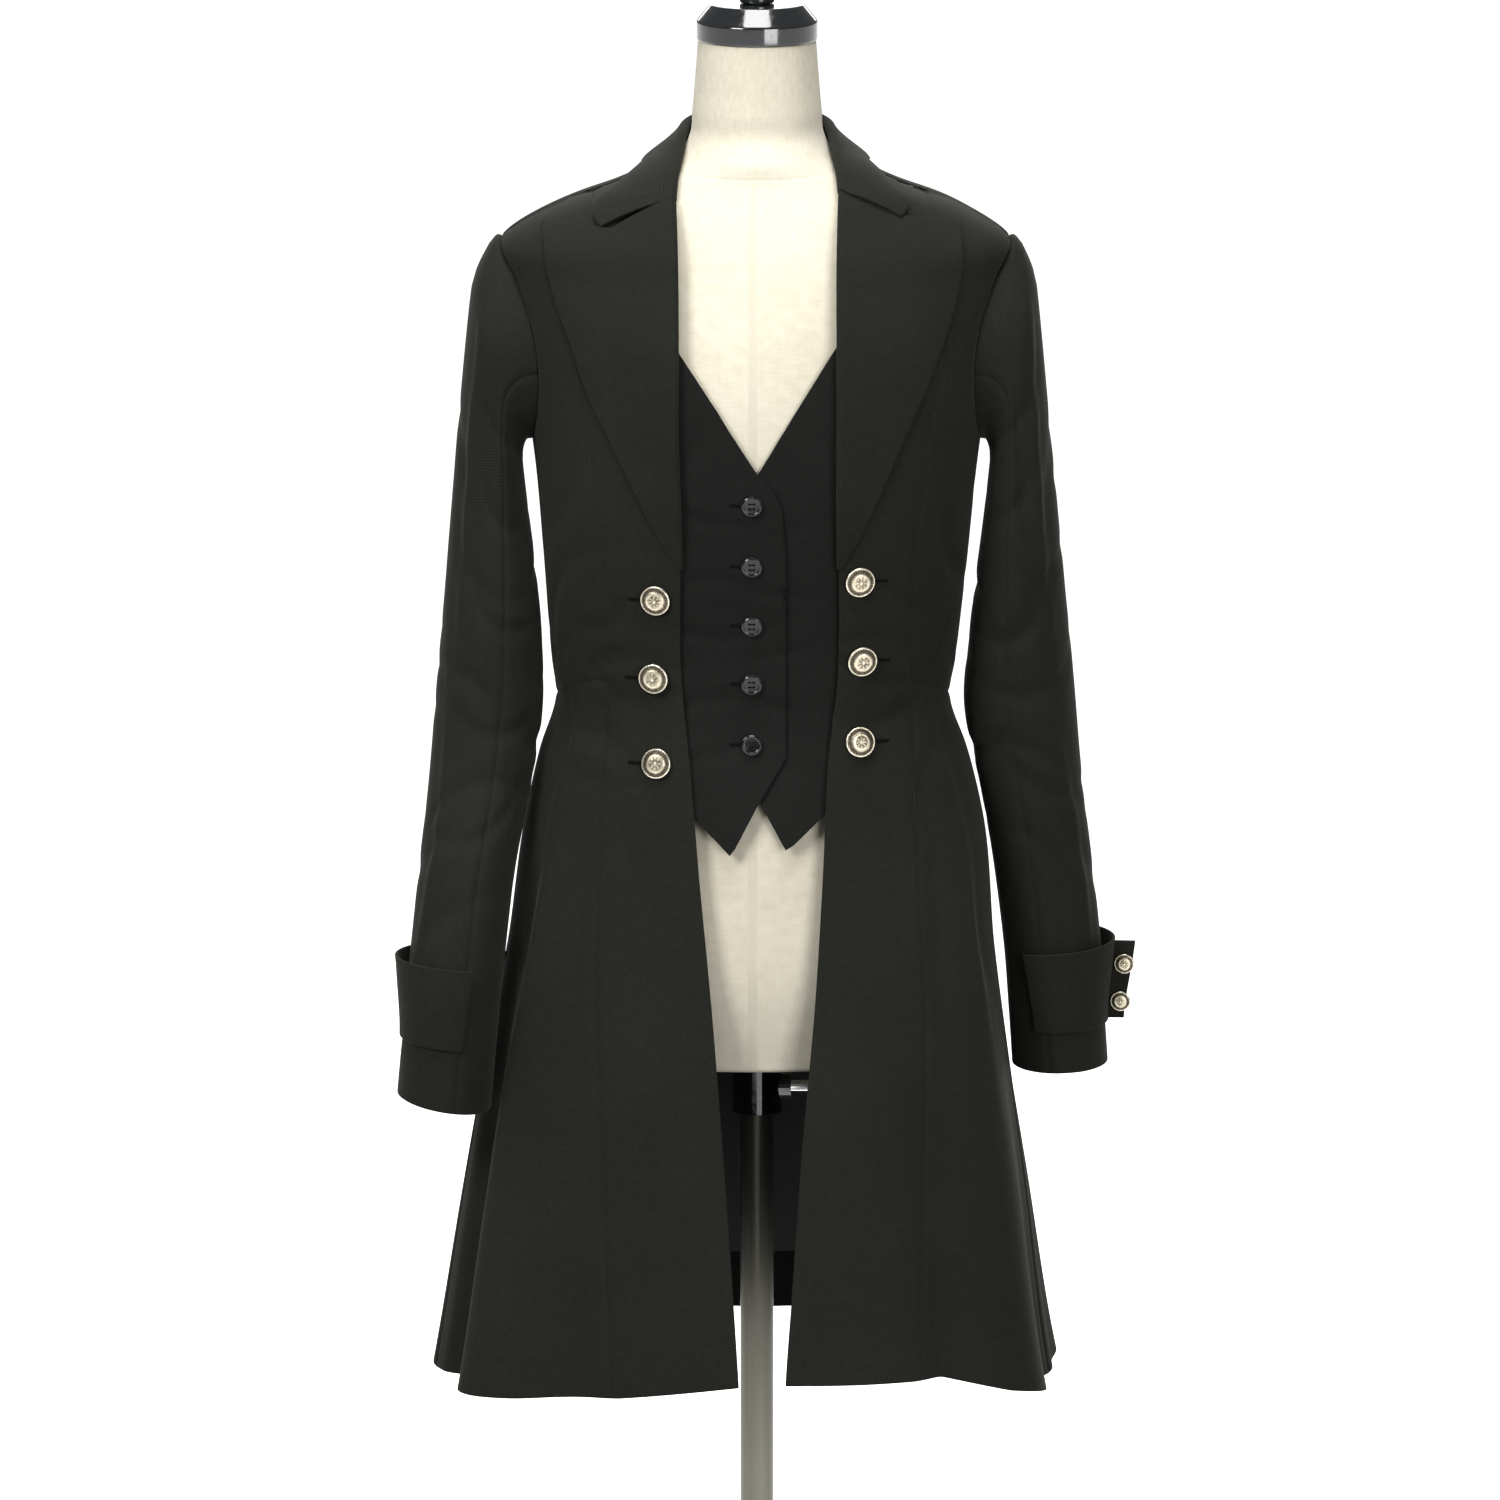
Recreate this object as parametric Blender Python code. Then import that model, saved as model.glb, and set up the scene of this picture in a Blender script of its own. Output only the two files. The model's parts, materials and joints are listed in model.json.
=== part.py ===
"""A fitted long coat with peak lapels and its waistcoat front, on a limbless dress form on a pole.

Metres, +Z up. The front of the coat faces -Y, and +X is on the right of someone who looks at it.
The origin is on the floor, under the pole. An angle round the body is 0 at the centre front,
positive towards +X, 90 degrees at the side seam and 180 at the centre back.
"""
import bmesh
import bpy
import numpy as np
from mathutils import Matrix, Vector

CLOTH = 0.0016  # wall of the suiting with its fusing
VEST_CLOTH = 0.0014
SEAM_GAP = 0.0003
SEAT = 0.0003  # what rests on something lies this far from it
LEFT, RIGHT = -1, 1

# The coat's outer surface, in level rings: half width on each side, depth in front and behind.
COAT_RINGS = np.array([
    # height, left, right, front, back
    (0.430, 0.2410, 0.2280, 0.1700, 0.1740),
    (0.462, 0.2360, 0.2220, 0.1665, 0.1690),
    (0.600, 0.2165, 0.2030, 0.1500, 0.1520),
    (0.700, 0.2010, 0.1885, 0.1370, 0.1390),
    (0.780, 0.1870, 0.1780, 0.1260, 0.1260),
    (0.880, 0.1730, 0.1690, 0.1130, 0.1080),
    (0.930, 0.1620, 0.1570, 0.1070, 0.0960),
    (0.970, 0.1500, 0.1440, 0.1030, 0.0880),
    (1.000, 0.1530, 0.1480, 0.1050, 0.0870),
    (1.080, 0.1590, 0.1570, 0.1160, 0.0930),
    (1.150, 0.1650, 0.1640, 0.1235, 0.1000),
    (1.200, 0.1720, 0.1710, 0.1220, 0.1030),
    (1.250, 0.1800, 0.1780, 0.1130, 0.1030),
    (1.290, 0.1870, 0.1850, 0.0990, 0.0990),
    (1.3167, 0.1890, 0.1870, 0.0890, 0.0940),
    (1.334, 0.1640, 0.1630, 0.0795, 0.0860),
    (1.347, 0.1350, 0.1370, 0.0730, 0.0790),
    (1.356, 0.1090, 0.1110, 0.0690, 0.0735),
    (1.378, 0.0640, 0.0640, 0.0620, 0.0640),
])
SQUARENESS = 0.05  # how far a ring's quarters stand out of an ellipse

# Soft folds of the skirt, on the left side first and then right and back.
SKIRT_FOLDS = np.array([
    # angle, half width in degrees, depth at the hem, height where it starts
    (-54.0, 17.0, 0.020, 0.93),
    (-71.0, 13.0, -0.019, 0.90),
    (-34.0, 10.0, -0.007, 0.80),
    (-96.0, 15.0, 0.008, 0.80),
    (58.0, 18.0, 0.012, 0.93),
    (39.0, 9.0, -0.008, 0.84),
    (82.0, 14.0, -0.010, 0.80),
    (112.0, 15.0, 0.014, 0.92),
    (132.0, 11.0, -0.012, 0.90),
    (152.0, 15.0, 0.016, 0.94),
    (180.0, 12.0, -0.008, 0.88),
    (-128.0, 16.0, 0.015, 0.93),
    (-147.0, 11.0, -0.013, 0.90),
    (-163.0, 13.0, 0.012, 0.90),
])
FOLDS_FULL = 0.455  # height at which a fold has its whole depth

# Seams seen from the front, as distances from the centre line.
FRONT_SEAMS = np.array([
    # height, front edge left, front edge right, princess seam left, right
    (0.440, 0.0115, 0.0195, 0.1090, 0.1245),
    (0.478, 0.0134, 0.0209, 0.1100, 0.1246),
    (0.550, 0.0180, 0.0261, 0.1134, 0.1255),
    (0.655, 0.0254, 0.0336, 0.1170, 0.1268),
    (0.765, 0.0343, 0.0433, 0.1200, 0.1255),
    (0.850, 0.0425, 0.0485, 0.1187, 0.1205),
    (0.940, 0.0500, 0.0530, 0.1157, 0.1180),
    (1.000, 0.0560, 0.0597, 0.1120, 0.1150),
    (1.085, 0.0567, 0.0605, 0.1160, 0.1160),
    (1.180, 0.0604, 0.0612, 0.1270, 0.1275),
    (1.250, 0.0604, 0.0612, 0.1300, 0.1380),
    (1.300, 0.0608, 0.0612, 0.1290, 0.1360),
    (1.3565, 0.0625, 0.0625, 0.1210, 0.1225),
    (1.378, 0.0632, 0.0632, 0.1150, 0.1150),
])

# The hem, by angle round the body.
HEM = np.array([
    # angle, height
    (-180.0, 0.4640), (-120.0, 0.4600), (-90.0, 0.4555), (-66.0, 0.4600), (-45.0, 0.4620),
    (-25.0, 0.4680), (0.0, 0.4800), (20.0, 0.4790), (38.0, 0.4790), (52.0, 0.4640),
    (70.0, 0.4520), (90.0, 0.4500), (120.0, 0.4580), (180.0, 0.4640),
])

ARMHOLE_HEIGHT = 1.2408  # centre of each armhole
ARMHOLE_HALF = 0.0759
ARMHOLE_FRONT, ARMHOLE_BACK = 27.0, 24.0  # how far it reaches round the body, in degrees
UNDERARM = ARMHOLE_HEIGHT - ARMHOLE_HALF
SHOULDER_POINT = ARMHOLE_HEIGHT + ARMHOLE_HALF
ARMHOLE_FIT = 0.978  # size of the sleeve's head against its armhole
ARMHOLE_BACK_FIT = 0.935
ARMHOLE_STEPS, BODICE_STEPS, SKIRT_STEPS = 9, 6, 11  # rows of cloth between the level seams
WAIST_FRONT, WAIST_SIDE, WAIST_BACK = 0.9950, 0.9720, 0.9800
NECKLINE = 1.3775
FIRST_LOW, FIRST_HIGH = 0.47, 1.00  # heights from which a panel's rows are settled
SHOULDER_NECK, PRINCESS_TOP = 0.0640, 0.1210  # where seams meet the shoulder seam

# The lapel's free edge, from the peak down to the break.
LAPEL_EDGE = np.array([
    # height, left, right
    (1.0850, 0.0585, 0.0625),
    (1.1050, 0.0710, 0.0740),
    (1.1420, 0.0895, 0.0905),
    (1.1770, 0.1067, 0.1060),
    (1.2170, 0.1260, 0.1240),
    (1.2500, 0.1373, 0.1365),
    (1.2760, 0.1470, 0.1450),
    (1.3060, 0.1545, 0.1500),
    (1.3330, 0.1575, 0.1478),
])
BREAK, NOTCH_PLACE = 1.0850, 0.46  # the top edge dips here, between the roll and the peak
GORGE = {LEFT: 1.3493, RIGHT: 1.3560}
NOTCH_DROP = {LEFT: 0.0147, RIGHT: 0.0078}
LAPEL_ROLL = 0.0026  # how far the lapel stands off the front at its fold
PEAK_LIFT = 0.0040  # and at its peak, over the round of the shoulder

# The collar fall: its fold, the place on the coat under the fold, and its free edge on the coat.
COLLAR_SECTIONS = np.array([
    # fold: side, depth, height; under it: angle, height; free edge: angle, height
    (0.0640, -0.0645, 1.3552, 31.0, 1.3552, 40.0, 1.3347),
    (0.0637, -0.0602, 1.3600, 37.0, 1.3605, 58.5, 1.3517),
    (0.0630, -0.0510, 1.3685, 50.0, 1.3690, 74.0, 1.3620),
    (0.0603, -0.0320, 1.3805, 69.0, 1.3765, 93.0, 1.3685),
    (0.0578, -0.0040, 1.3930, 91.0, 1.3775, 115.0, 1.3660),
    (0.0520, 0.0265, 1.3990, 118.5, 1.3775, 138.0, 1.3620),
    (0.0310, 0.0528, 1.4025, 150.5, 1.3775, 160.0, 1.3590),
    (0.0000, 0.0638, 1.4040, 180.0, 1.3775, 180.0, 1.3575),
])
COLLAR_CLOTH = 0.0018
COLLAR_FOLD = 0.0024
COLLAR_BULGE = 0.0030
COLLAR_SKEW = 0.0033  # the collar sits this much lower at the left notch, and higher at the right
FOLD_OUT, FOLD_UP = 0.8, 0.6  # direction in which the fold faces
FOLD_DEGREES = 400.0  # turn of the fold for each unit past its top
STAND_FROM = 1.7  # the stand begins at this section
STAND_FOOT, STAND_RISE = 0.966, 0.0014  # its foot, inside the neckline's ring and above it
STAND_TOP, STAND_DROP = 0.985, 0.0056  # its top, inside the fold and under it
ON_CLOTH = 0.0007  # gap under cloth that lies on cloth

# Sleeves: each section runs from its outer point to its inner point.
SLEEVE_LEFT = np.array([
    # outer side, outer height, inner side, inner height, depth of the centre, half depth
    (0.2060, 1.3040, 0.1745, 1.1640, 0.0000, 0.0560),
    (0.2115, 1.2790, 0.1740, 1.1470, 0.0010, 0.0570),
    (0.2165, 1.2350, 0.1710, 1.1180, 0.0020, 0.0565),
    (0.2215, 1.1800, 0.1670, 1.0850, 0.0020, 0.0550),
    (0.2265, 1.1220, 0.1630, 1.0510, 0.0000, 0.0540),
    (0.2320, 1.0560, 0.1600, 1.0130, -0.0030, 0.0530),
    (0.2385, 0.9800, 0.1597, 0.9620, -0.0120, 0.0520),
    (0.2450, 0.9050, 0.1690, 0.9030, -0.0290, 0.0510),
    (0.2515, 0.8480, 0.1800, 0.8460, -0.0460, 0.0500),
    (0.2590, 0.7780, 0.1885, 0.7740, -0.0600, 0.0490),
    (0.2635, 0.7280, 0.1935, 0.7230, -0.0640, 0.0485),
    (0.2680, 0.6820, 0.1980, 0.6700, -0.0660, 0.0480),
])
SLEEVE_RIGHT = np.array([
    (0.2040, 1.3040, 0.1735, 1.1640, 0.0000, 0.0560),
    (0.2075, 1.2790, 0.1730, 1.1470, 0.0010, 0.0570),
    (0.2120, 1.2350, 0.1700, 1.1180, 0.0020, 0.0565),
    (0.2170, 1.1800, 0.1660, 1.0850, 0.0020, 0.0550),
    (0.2225, 1.1220, 0.1620, 1.0510, 0.0040, 0.0540),
    (0.2290, 1.0560, 0.1580, 1.0130, 0.0060, 0.0530),
    (0.2366, 0.9800, 0.1545, 0.9620, 0.0100, 0.0520),
    (0.2430, 0.9050, 0.1660, 0.9030, 0.0180, 0.0510),
    (0.2500, 0.8480, 0.1760, 0.8460, 0.0260, 0.0500),
    (0.2580, 0.7780, 0.1850, 0.7760, 0.0350, 0.0490),
    (0.2610, 0.7280, 0.1890, 0.7260, 0.0370, 0.0485),
    (0.2640, 0.6840, 0.1920, 0.6820, 0.0380, 0.0480),
])
SLEEVE_SEAMS = 105.0, -120.0  # front seam and back seam, degrees from the outer point
CAP_BLEND = 2  # sections over which the armhole becomes a sleeve

# Turned-up cuff bands, which stand off the sleeve more at the top, each with a button tab.
BAND_TOP = {LEFT: 0.7840, RIGHT: 0.7780}
BAND_BOTTOM = {LEFT: 0.7230, RIGHT: 0.7150}
BAND_OFF_TOP, BAND_OFF_BOTTOM = 0.0105, 0.0026
BAND_FRONT = {LEFT: 106.0, RIGHT: 118.0}  # where the band begins, degrees from the outer point
BAND_TURN = {LEFT: 250.0, RIGHT: 236.0}
TAB_ANGLE = {LEFT: -96.0, RIGHT: 8.0}  # the button tab stands out of the band here
TAB_LENGTH_TOP, TAB_LENGTH_BOTTOM = 0.0150, 0.0110
TAB_WALL = 0.0024

# Waistcoat panels: heights of their upper and lower edges across the front.
VEST_LEFT = np.array([
    # side, upper edge, lower edge
    (-0.1000, 1.2860, 0.9380),
    (-0.0850, 1.2860, 0.9260),
    (-0.0605, 1.2500, 0.9070),
    (-0.0460, 1.2285, 0.8960),
    (-0.0290, 1.2030, 0.8790),
    (-0.0205, 1.1890, 0.8700),
    (-0.0165, 1.1830, 0.8750),
    (0.0000, 1.1575, 0.9060),
    (0.0130, 1.1430, 0.9275),
    (0.0185, 1.1300, 0.9365),
    (0.0216, 1.0900, 0.9420),
])
VEST_RIGHT = np.array([
    (-0.0140, 1.1300, 0.9270),
    (-0.0060, 1.1480, 0.9200),
    (0.0020, 1.1590, 0.9090),
    (0.0165, 1.1830, 0.8830),
    (0.0215, 1.1910, 0.8740),
    (0.0275, 1.2010, 0.8775),
    (0.0515, 1.2390, 0.9000),
    (0.0612, 1.2540, 0.9070),
    (0.0850, 1.2900, 0.9260),
    (0.1000, 1.2900, 0.9380),
])
VEST_DEPTH = {LEFT: 0.0040, RIGHT: 0.0064}  # outer face below the coat's, at the centre
VEST_SEWN, VEST_FREE = 0.100, 0.045  # sewn in this far from the centre, and free this much nearer

# Buttons: radius, height of the edge, height of the dome.
METAL_BUTTON = 0.01125, 0.0022, 0.0048
CUFF_BUTTON = 0.0075, 0.0016, 0.0034
VEST_BUTTON = 0.0075, 0.0022, 0.0026
# Distance from the centre line, height, and room left under the button where the cloth is hollow.
METAL_PLACES = {LEFT: ((0.0746, 1.0610, 0.0), (0.0757, 1.0010, 0.0006), (0.0740, 0.9370, 0.0)),
                RIGHT: ((0.0754, 1.0750, 0.0), (0.0769, 1.0140, 0.0005), (0.0754, 0.9525, 0.0007))}
VEST_BUTTON_SIDE = -0.0040
VEST_BUTTONS = ((1.1335, 0.0), (1.0870, 0.0001), (1.0415, 0.0001), (0.9970, 0.0006),
                (0.9520, 0.0010))
CUFF_BUTTON_SHARES = 0.28, 0.76  # down the tab

# The dress form's torso and neck, in level rings.
FORM_RINGS = np.array([
    # height, half width, front, back
    (0.7025, 0.1480, 0.0960, 0.1020),
    (0.7600, 0.1580, 0.1050, 0.1090),
    (0.8400, 0.1560, 0.1030, 0.1060),
    (0.9000, 0.1430, 0.0960, 0.0930),
    (0.9850, 0.1180, 0.0830, 0.0740),
    (1.0600, 0.1320, 0.0950, 0.0790),
    (1.1500, 0.1480, 0.1130, 0.0880),
    (1.2000, 0.1500, 0.1120, 0.0930),
    (1.2500, 0.1510, 0.1030, 0.0940),
    (1.2900, 0.1510, 0.0900, 0.0910),
    (1.3100, 0.1500, 0.0830, 0.0870),
    (1.3350, 0.1460, 0.0730, 0.0800),
    (1.3490, 0.1300, 0.0670, 0.0740),
    (1.3575, 0.1040, 0.0635, 0.0680),
    (1.3665, 0.0780, 0.0605, 0.0630),
    (1.3760, 0.0605, 0.0590, 0.0590),
    (1.3840, 0.0540, 0.0545, 0.0545),
    (1.3920, 0.0500, 0.0500, 0.0500),
    (1.4125, 0.0478, 0.0478, 0.0478),
    (1.4627, 0.0437, 0.0437, 0.0437),
])
SHOULDER_DROP = 0.0031  # the form's shoulders lie this far under the coat's outer face
SHOULDER_FROM = 1.3300
FORM_SIDES = 24
CAP_PROFILE = ((0.0, 1.4630), (0.0440, 1.4630), (0.0448, 1.4640), (0.0448, 1.4766),
               (0.0440, 1.4780), (0.0345, 1.4896), (0.0335, 1.4900), (0.0, 1.4900))
KNOB_PROFILE = ((0.0, 1.4903), (0.0130, 1.4903), (0.0130, 1.5010), (0.0105, 1.5050),
                (0.0105, 1.5080), (0.0150, 1.5130), (0.0165, 1.5180), (0.0150, 1.5230),
                (0.0090, 1.5265), (0.0, 1.5275))
POLE_RADIUS, POLE_TOP = 0.0125, 0.9200
BORE_RADIUS, BORE_TOP = 0.0135, 1.1000
COLLAR_RADIUS, COLLAR_BOTTOM = 0.0187, 0.6531
BOSS_RADIUS, BOSS_REACH, BOSS_HEIGHT = 0.0098, 0.0254, 0.6720
SCREW_RADIUS, SCREW_END, HANDLE_HALF = 0.0040, 0.0500, 0.0210
FOOT_RADIUS, FOOT_EDGE, FOOT_TOP, SOCKET_RADIUS, SOCKET_TOP = 0.1900, 0.0060, 0.0140, 0.0200, 0.0700
POLE_FOOT = 0.0100  # the pole's lower end, inside the foot's socket


def smooth(heights, values, at):
    """Cubic curve through the table: each row's slope is the mean of its neighbours' chords."""
    at = np.clip(at, heights[0], heights[-1])
    slopes = np.gradient(values, heights)
    row = np.clip(np.searchsorted(heights, at, side="right") - 1, 0, len(heights) - 2)
    span = heights[row + 1] - heights[row]
    t = (at - heights[row]) / span
    start = values[row] * (1 + 2 * t) * (1 - t) ** 2 + slopes[row] * span * t * (1 - t) ** 2
    end = values[row + 1] * t * t * (3 - 2 * t) - slopes[row + 1] * span * t * t * (1 - t)
    return start + end


def column(table, at, index):
    return smooth(table[:, 0], table[:, index], at)


def fold_depth(angle, height):
    """Sum of the folds: each is a raised cosine across its angle, and grows down to the hem."""
    total = np.zeros(np.broadcast(angle, height).shape)
    for middle, half, depth, start in SKIRT_FOLDS:
        away = (angle - middle + 180) % 360 - 180
        across = np.where(np.abs(away) < half, 0.5 + 0.5 * np.cos(np.pi * away / half), 0.0)
        down = np.clip((start - height) / (start - FOLDS_FULL), 0.0, 1.1)
        total = total + depth * across * down ** 1.3
    return total


def coat(angle, height):
    """The coat's outer surface: an ellipse in each ring, squarer by a sine, plus the folds."""
    turn = np.radians(angle)
    half = np.where(np.sin(turn) < 0, column(COAT_RINGS, height, 1), column(COAT_RINGS, height, 2))
    deep = np.where(np.cos(turn) > 0, column(COAT_RINGS, height, 3), column(COAT_RINGS, height, 4))
    square = 1 + SQUARENESS * np.sin(2 * turn) ** 2
    folds = fold_depth(angle, height)
    x = (half * square + folds) * np.sin(turn)
    y = -(deep * square + folds) * np.cos(turn)
    return np.stack(np.broadcast_arrays(x, y, height), axis=-1)


def angle_of(side, across, height, front=True):
    """Angle at which the ring at this height is this far from the centre line, by halving."""
    half = column(COAT_RINGS, height, 1 if side == LEFT else 2)
    low = np.zeros(np.broadcast(across, height).shape)
    high = low + 90.0
    for _ in range(30):
        middle = (low + high) / 2
        turn = np.radians(middle)
        short = half * (1 + SQUARENESS * np.sin(2 * turn) ** 2) * np.sin(turn) < across
        low, high = np.where(short, middle, low), np.where(short, high, middle)
    return side * (low if front else 180.0 - low)


def shoulder_height(side, across):
    """Height of the shoulder seam at this distance from the centre line."""
    heights = np.linspace(SHOULDER_POINT, NECKLINE, 120)
    halves = column(COAT_RINGS, heights, 1 if side == LEFT else 2)
    return np.interp(-np.asarray(across), -halves, heights)


def normals_of(surface, first, second, step=(0.5, 0.0005)):
    """Outward normals: the cross product of two central differences of the surface."""
    along = surface(first + step[0], second) - surface(first - step[0], second)
    up = surface(first, second + step[1]) - surface(first, second - step[1])
    normals = np.cross(along, up)
    return normals / np.linalg.norm(normals, axis=-1, keepdims=True)


def trimmed(points, gap=SEAM_GAP / 2):
    """The grid with each of its four borders drawn in along the cloth by half a seam gap."""
    points = points.copy()
    for edge, inner in ((0, 1), (-1, -2)):
        for view in (points, points.swapaxes(0, 1)):
            inward = view[inner] - view[edge]
            view[edge] += inward * gap / np.linalg.norm(inward, axis=-1, keepdims=True)
    return points


def material(name, colour, roughness, metallic=0.0):
    made = bpy.data.materials.get(name) or bpy.data.materials.new(name)
    made.use_nodes = True
    shader = made.node_tree.nodes["Principled BSDF"]
    shader.inputs["Base Color"].default_value = (*colour, 1.0)
    shader.inputs["Roughness"].default_value = roughness
    shader.inputs["Metallic"].default_value = metallic
    return made


def suiting():
    return material("black_suiting", (0.018, 0.018, 0.016), 0.85)


def waistcoating():
    return material("black_waistcoating", (0.014, 0.014, 0.013), 0.88)


def linen():
    return material("cream_linen", (0.86, 0.79, 0.66), 0.90)


def silvered():
    return material("aged_silver", (0.55, 0.52, 0.44), 0.35, 1.0)


def black_resin():
    return material("black_resin", (0.012, 0.012, 0.013), 0.20)


def black_gloss():
    return material("black_gloss", (0.010, 0.011, 0.012), 0.12)


def satin_metal():
    return material("grey_satin_metal", (0.19, 0.185, 0.16), 0.38, 0.9)


def chrome():
    return material("chrome", (0.75, 0.75, 0.74), 0.12, 1.0)


def add_mesh(name, points, faces, finish, smooth_shading=True):
    mesh = bpy.data.meshes.new(name)
    mesh.from_pydata([tuple(p) for p in points], [], faces)
    mesh.validate()
    work = bmesh.new()
    work.from_mesh(mesh)
    bmesh.ops.recalc_face_normals(work, faces=work.faces)
    work.to_mesh(mesh)
    work.free()
    if smooth_shading:
        mesh.shade_smooth()
        mesh.set_sharp_from_angle(angle=np.radians(40))
    mesh.materials.append(finish)
    made = bpy.data.objects.new(name, mesh)
    bpy.context.scene.collection.objects.link(made)
    return made


def wall(name, outer, inner, finish):
    """A closed sheet: the outer grid, the inner grid, and a rim of quads between their borders."""
    rows, columns = outer.shape[:2]
    index = np.arange(rows * columns).reshape(rows, columns)
    shift = rows * columns
    faces = []
    for r in range(rows - 1):
        for c in range(columns - 1):
            quad = [index[r, c], index[r, c + 1], index[r + 1, c + 1], index[r + 1, c]]
            faces.append([int(i) for i in quad])
            faces.append([int(i) + shift for i in reversed(quad)])
    border = [*index[0, :], *index[1:, -1], *index[-1, -2::-1], *index[-2:0:-1, 0]]
    for start, end in zip(border, border[1:] + border[:1]):
        faces.append([int(end), int(start), int(start) + shift, int(end) + shift])
    points = np.concatenate([outer.reshape(-1, 3), inner.reshape(-1, 3)])
    return add_mesh(name, points, faces, finish)


def panel(name, angle, height, finish, thickness=CLOTH, lift=0.0, surface=coat):
    """Cloth on a surface: the outer face is lifted along the normal, the inner lies under it."""
    points = surface(angle, height)
    normals = normals_of(surface, angle, height)
    lift = np.asarray(lift) * np.ones(angle.shape)
    outer = trimmed(points + normals * lift[..., None])
    inner = trimmed(points + normals * (lift - thickness)[..., None])
    return wall(name, outer, inner, finish)


def side_name(side):
    return "left" if side == LEFT else "right"


def upper_rows():
    """Shares of the way from the underarm to the shoulder, even round the armhole's curve."""
    return 0.5 - 0.5 * np.cos(np.linspace(0.0, np.pi, ARMHOLE_STEPS + 1))


def armhole_reach(share, degrees):
    """How far the armhole reaches round the body at this share of its height."""
    return degrees * np.sqrt(np.clip(1 - (2 * share - 1) ** 2, 0.0, 1.0))


def hem_height(angle):
    return np.interp(angle, HEM[:, 0], HEM[:, 1])


def waist_height(angle):
    return np.interp(np.abs(angle), (48.0, 90.0, 180.0), (WAIST_FRONT, WAIST_SIDE, WAIST_BACK))


def level_rows(places, low, high, steps, closer=1.0):
    """Rows of cloth between two edges that depend on the angle. The angle that a place has
    depends on its height in turn, so each row is settled in a few rounds. The power draws the
    rows together at the upper edge."""
    angles, heights = [], []
    for share in 1 - np.linspace(1.0, 0.0, steps + 1) ** closer:
        height = FIRST_LOW + share * (FIRST_HIGH - FIRST_LOW)
        for _ in range(4):
            angle = places(height)
            height = low(angle) + share * (high(angle) - low(angle))
        angles.append(angle)
        heights.append(height)
    return angles, heights


def front_seam(side, height, index):
    """Distance of the front edge, index 1, or the princess seam, index 3, from the centre line."""
    return column(FRONT_SEAMS, height, index if side == LEFT else index + 1)


def half_width(side, height):
    return column(COAT_RINGS, height, 1 if side == LEFT else 2)


def underarm_height(angle):
    return UNDERARM + 0.0 * angle


def coat_front(side):
    """Front, in one from the shoulder to the hem, between the front edge and the princess seam."""
    across = np.linspace(0.0, 1.0, 6)

    def places(height):
        edge, seam = front_seam(side, height, 1), front_seam(side, height, 3)
        return angle_of(side, edge + across * (seam - edge), height)

    angles, heights = level_rows(places, hem_height, waist_height, SKIRT_STEPS, 1.4)
    bodice = level_rows(places, waist_height, underarm_height, BODICE_STEPS)
    angles += bodice[0][1:]
    heights += bodice[1][1:]
    top = shoulder_height(side, SHOULDER_NECK + across * (PRINCESS_TOP - SHOULDER_NECK))
    for share in upper_rows()[1:]:
        heights.append(UNDERARM + share * (top - UNDERARM))
        angles.append(places(heights[-1]))
    angles[-1] = side * 90.0 + 0 * across
    return panel(f"front_{side_name(side)}", np.array(angles), np.array(heights), suiting())


def armhole_side(side, share, degrees, height):
    """Distance of the armhole's edge from the centre line, at this share of its height."""
    edge = np.radians(90 - armhole_reach(share, degrees))
    return half_width(side, height) * (1 + SQUARENESS * np.sin(2 * edge) ** 2) * np.sin(edge)


def side_bodice(side):
    """Side of the bodice, from the princess seam to the side seam, with the front of the armhole."""
    across = np.sin(np.radians(np.linspace(0.0, 90.0, 7)))

    def places(height, outer=None):
        seam = front_seam(side, height, 3)
        outer = half_width(side, height) if outer is None else outer
        return angle_of(side, seam + across * (outer - seam), height)

    angles, heights = level_rows(places, waist_height, underarm_height, BODICE_STEPS)
    shoulder = half_width(side, SHOULDER_POINT)
    top = shoulder_height(side, PRINCESS_TOP + across * (shoulder - PRINCESS_TOP))
    for share in upper_rows()[1:]:
        heights.append(UNDERARM + share * (top - UNDERARM))
        outer = armhole_side(side, share, ARMHOLE_FRONT, heights[-1][-1])
        angles.append(places(heights[-1], outer))
    angles[-1] = side * 90.0 + 0 * across
    return panel(f"side_bodice_{side_name(side)}", np.array(angles), np.array(heights), suiting())


def back_bodice(side):
    """Back of the bodice, from the side seam to the centre back seam, up to the neckline."""
    across = np.cos(np.radians(np.linspace(0.0, 90.0, 11)))

    def places(height, outer=None):
        outer = half_width(side, height) if outer is None else outer
        return angle_of(side, across * outer, height, front=False)

    angles, heights = level_rows(places, waist_height, underarm_height, BODICE_STEPS)
    shoulder = half_width(side, SHOULDER_POINT)
    top = np.minimum(shoulder_height(side, across * shoulder), NECKLINE)
    for share in upper_rows()[1:]:
        heights.append(UNDERARM + share * (top - UNDERARM))
        outer = armhole_side(side, share, ARMHOLE_BACK, heights[-1][0])
        angles.append(places(heights[-1], outer))
    angles[-1] = np.where(top < NECKLINE, side * 90.0, angles[-1])
    return panel(f"back_bodice_{side_name(side)}", np.array(angles), np.array(heights), suiting())


def side_skirt(side):
    """Side of the skirt, from the princess seam to the side seam, under the waist seam."""
    across = np.linspace(0.0, 1.0, 10)

    def places(height):
        start = angle_of(side, front_seam(side, height, 3), height)
        return start + across * (side * 90.0 - start)

    angles, heights = level_rows(places, hem_height, waist_height, SKIRT_STEPS, 1.4)
    return panel(f"side_skirt_{side_name(side)}", np.array(angles), np.array(heights), suiting())


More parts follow.
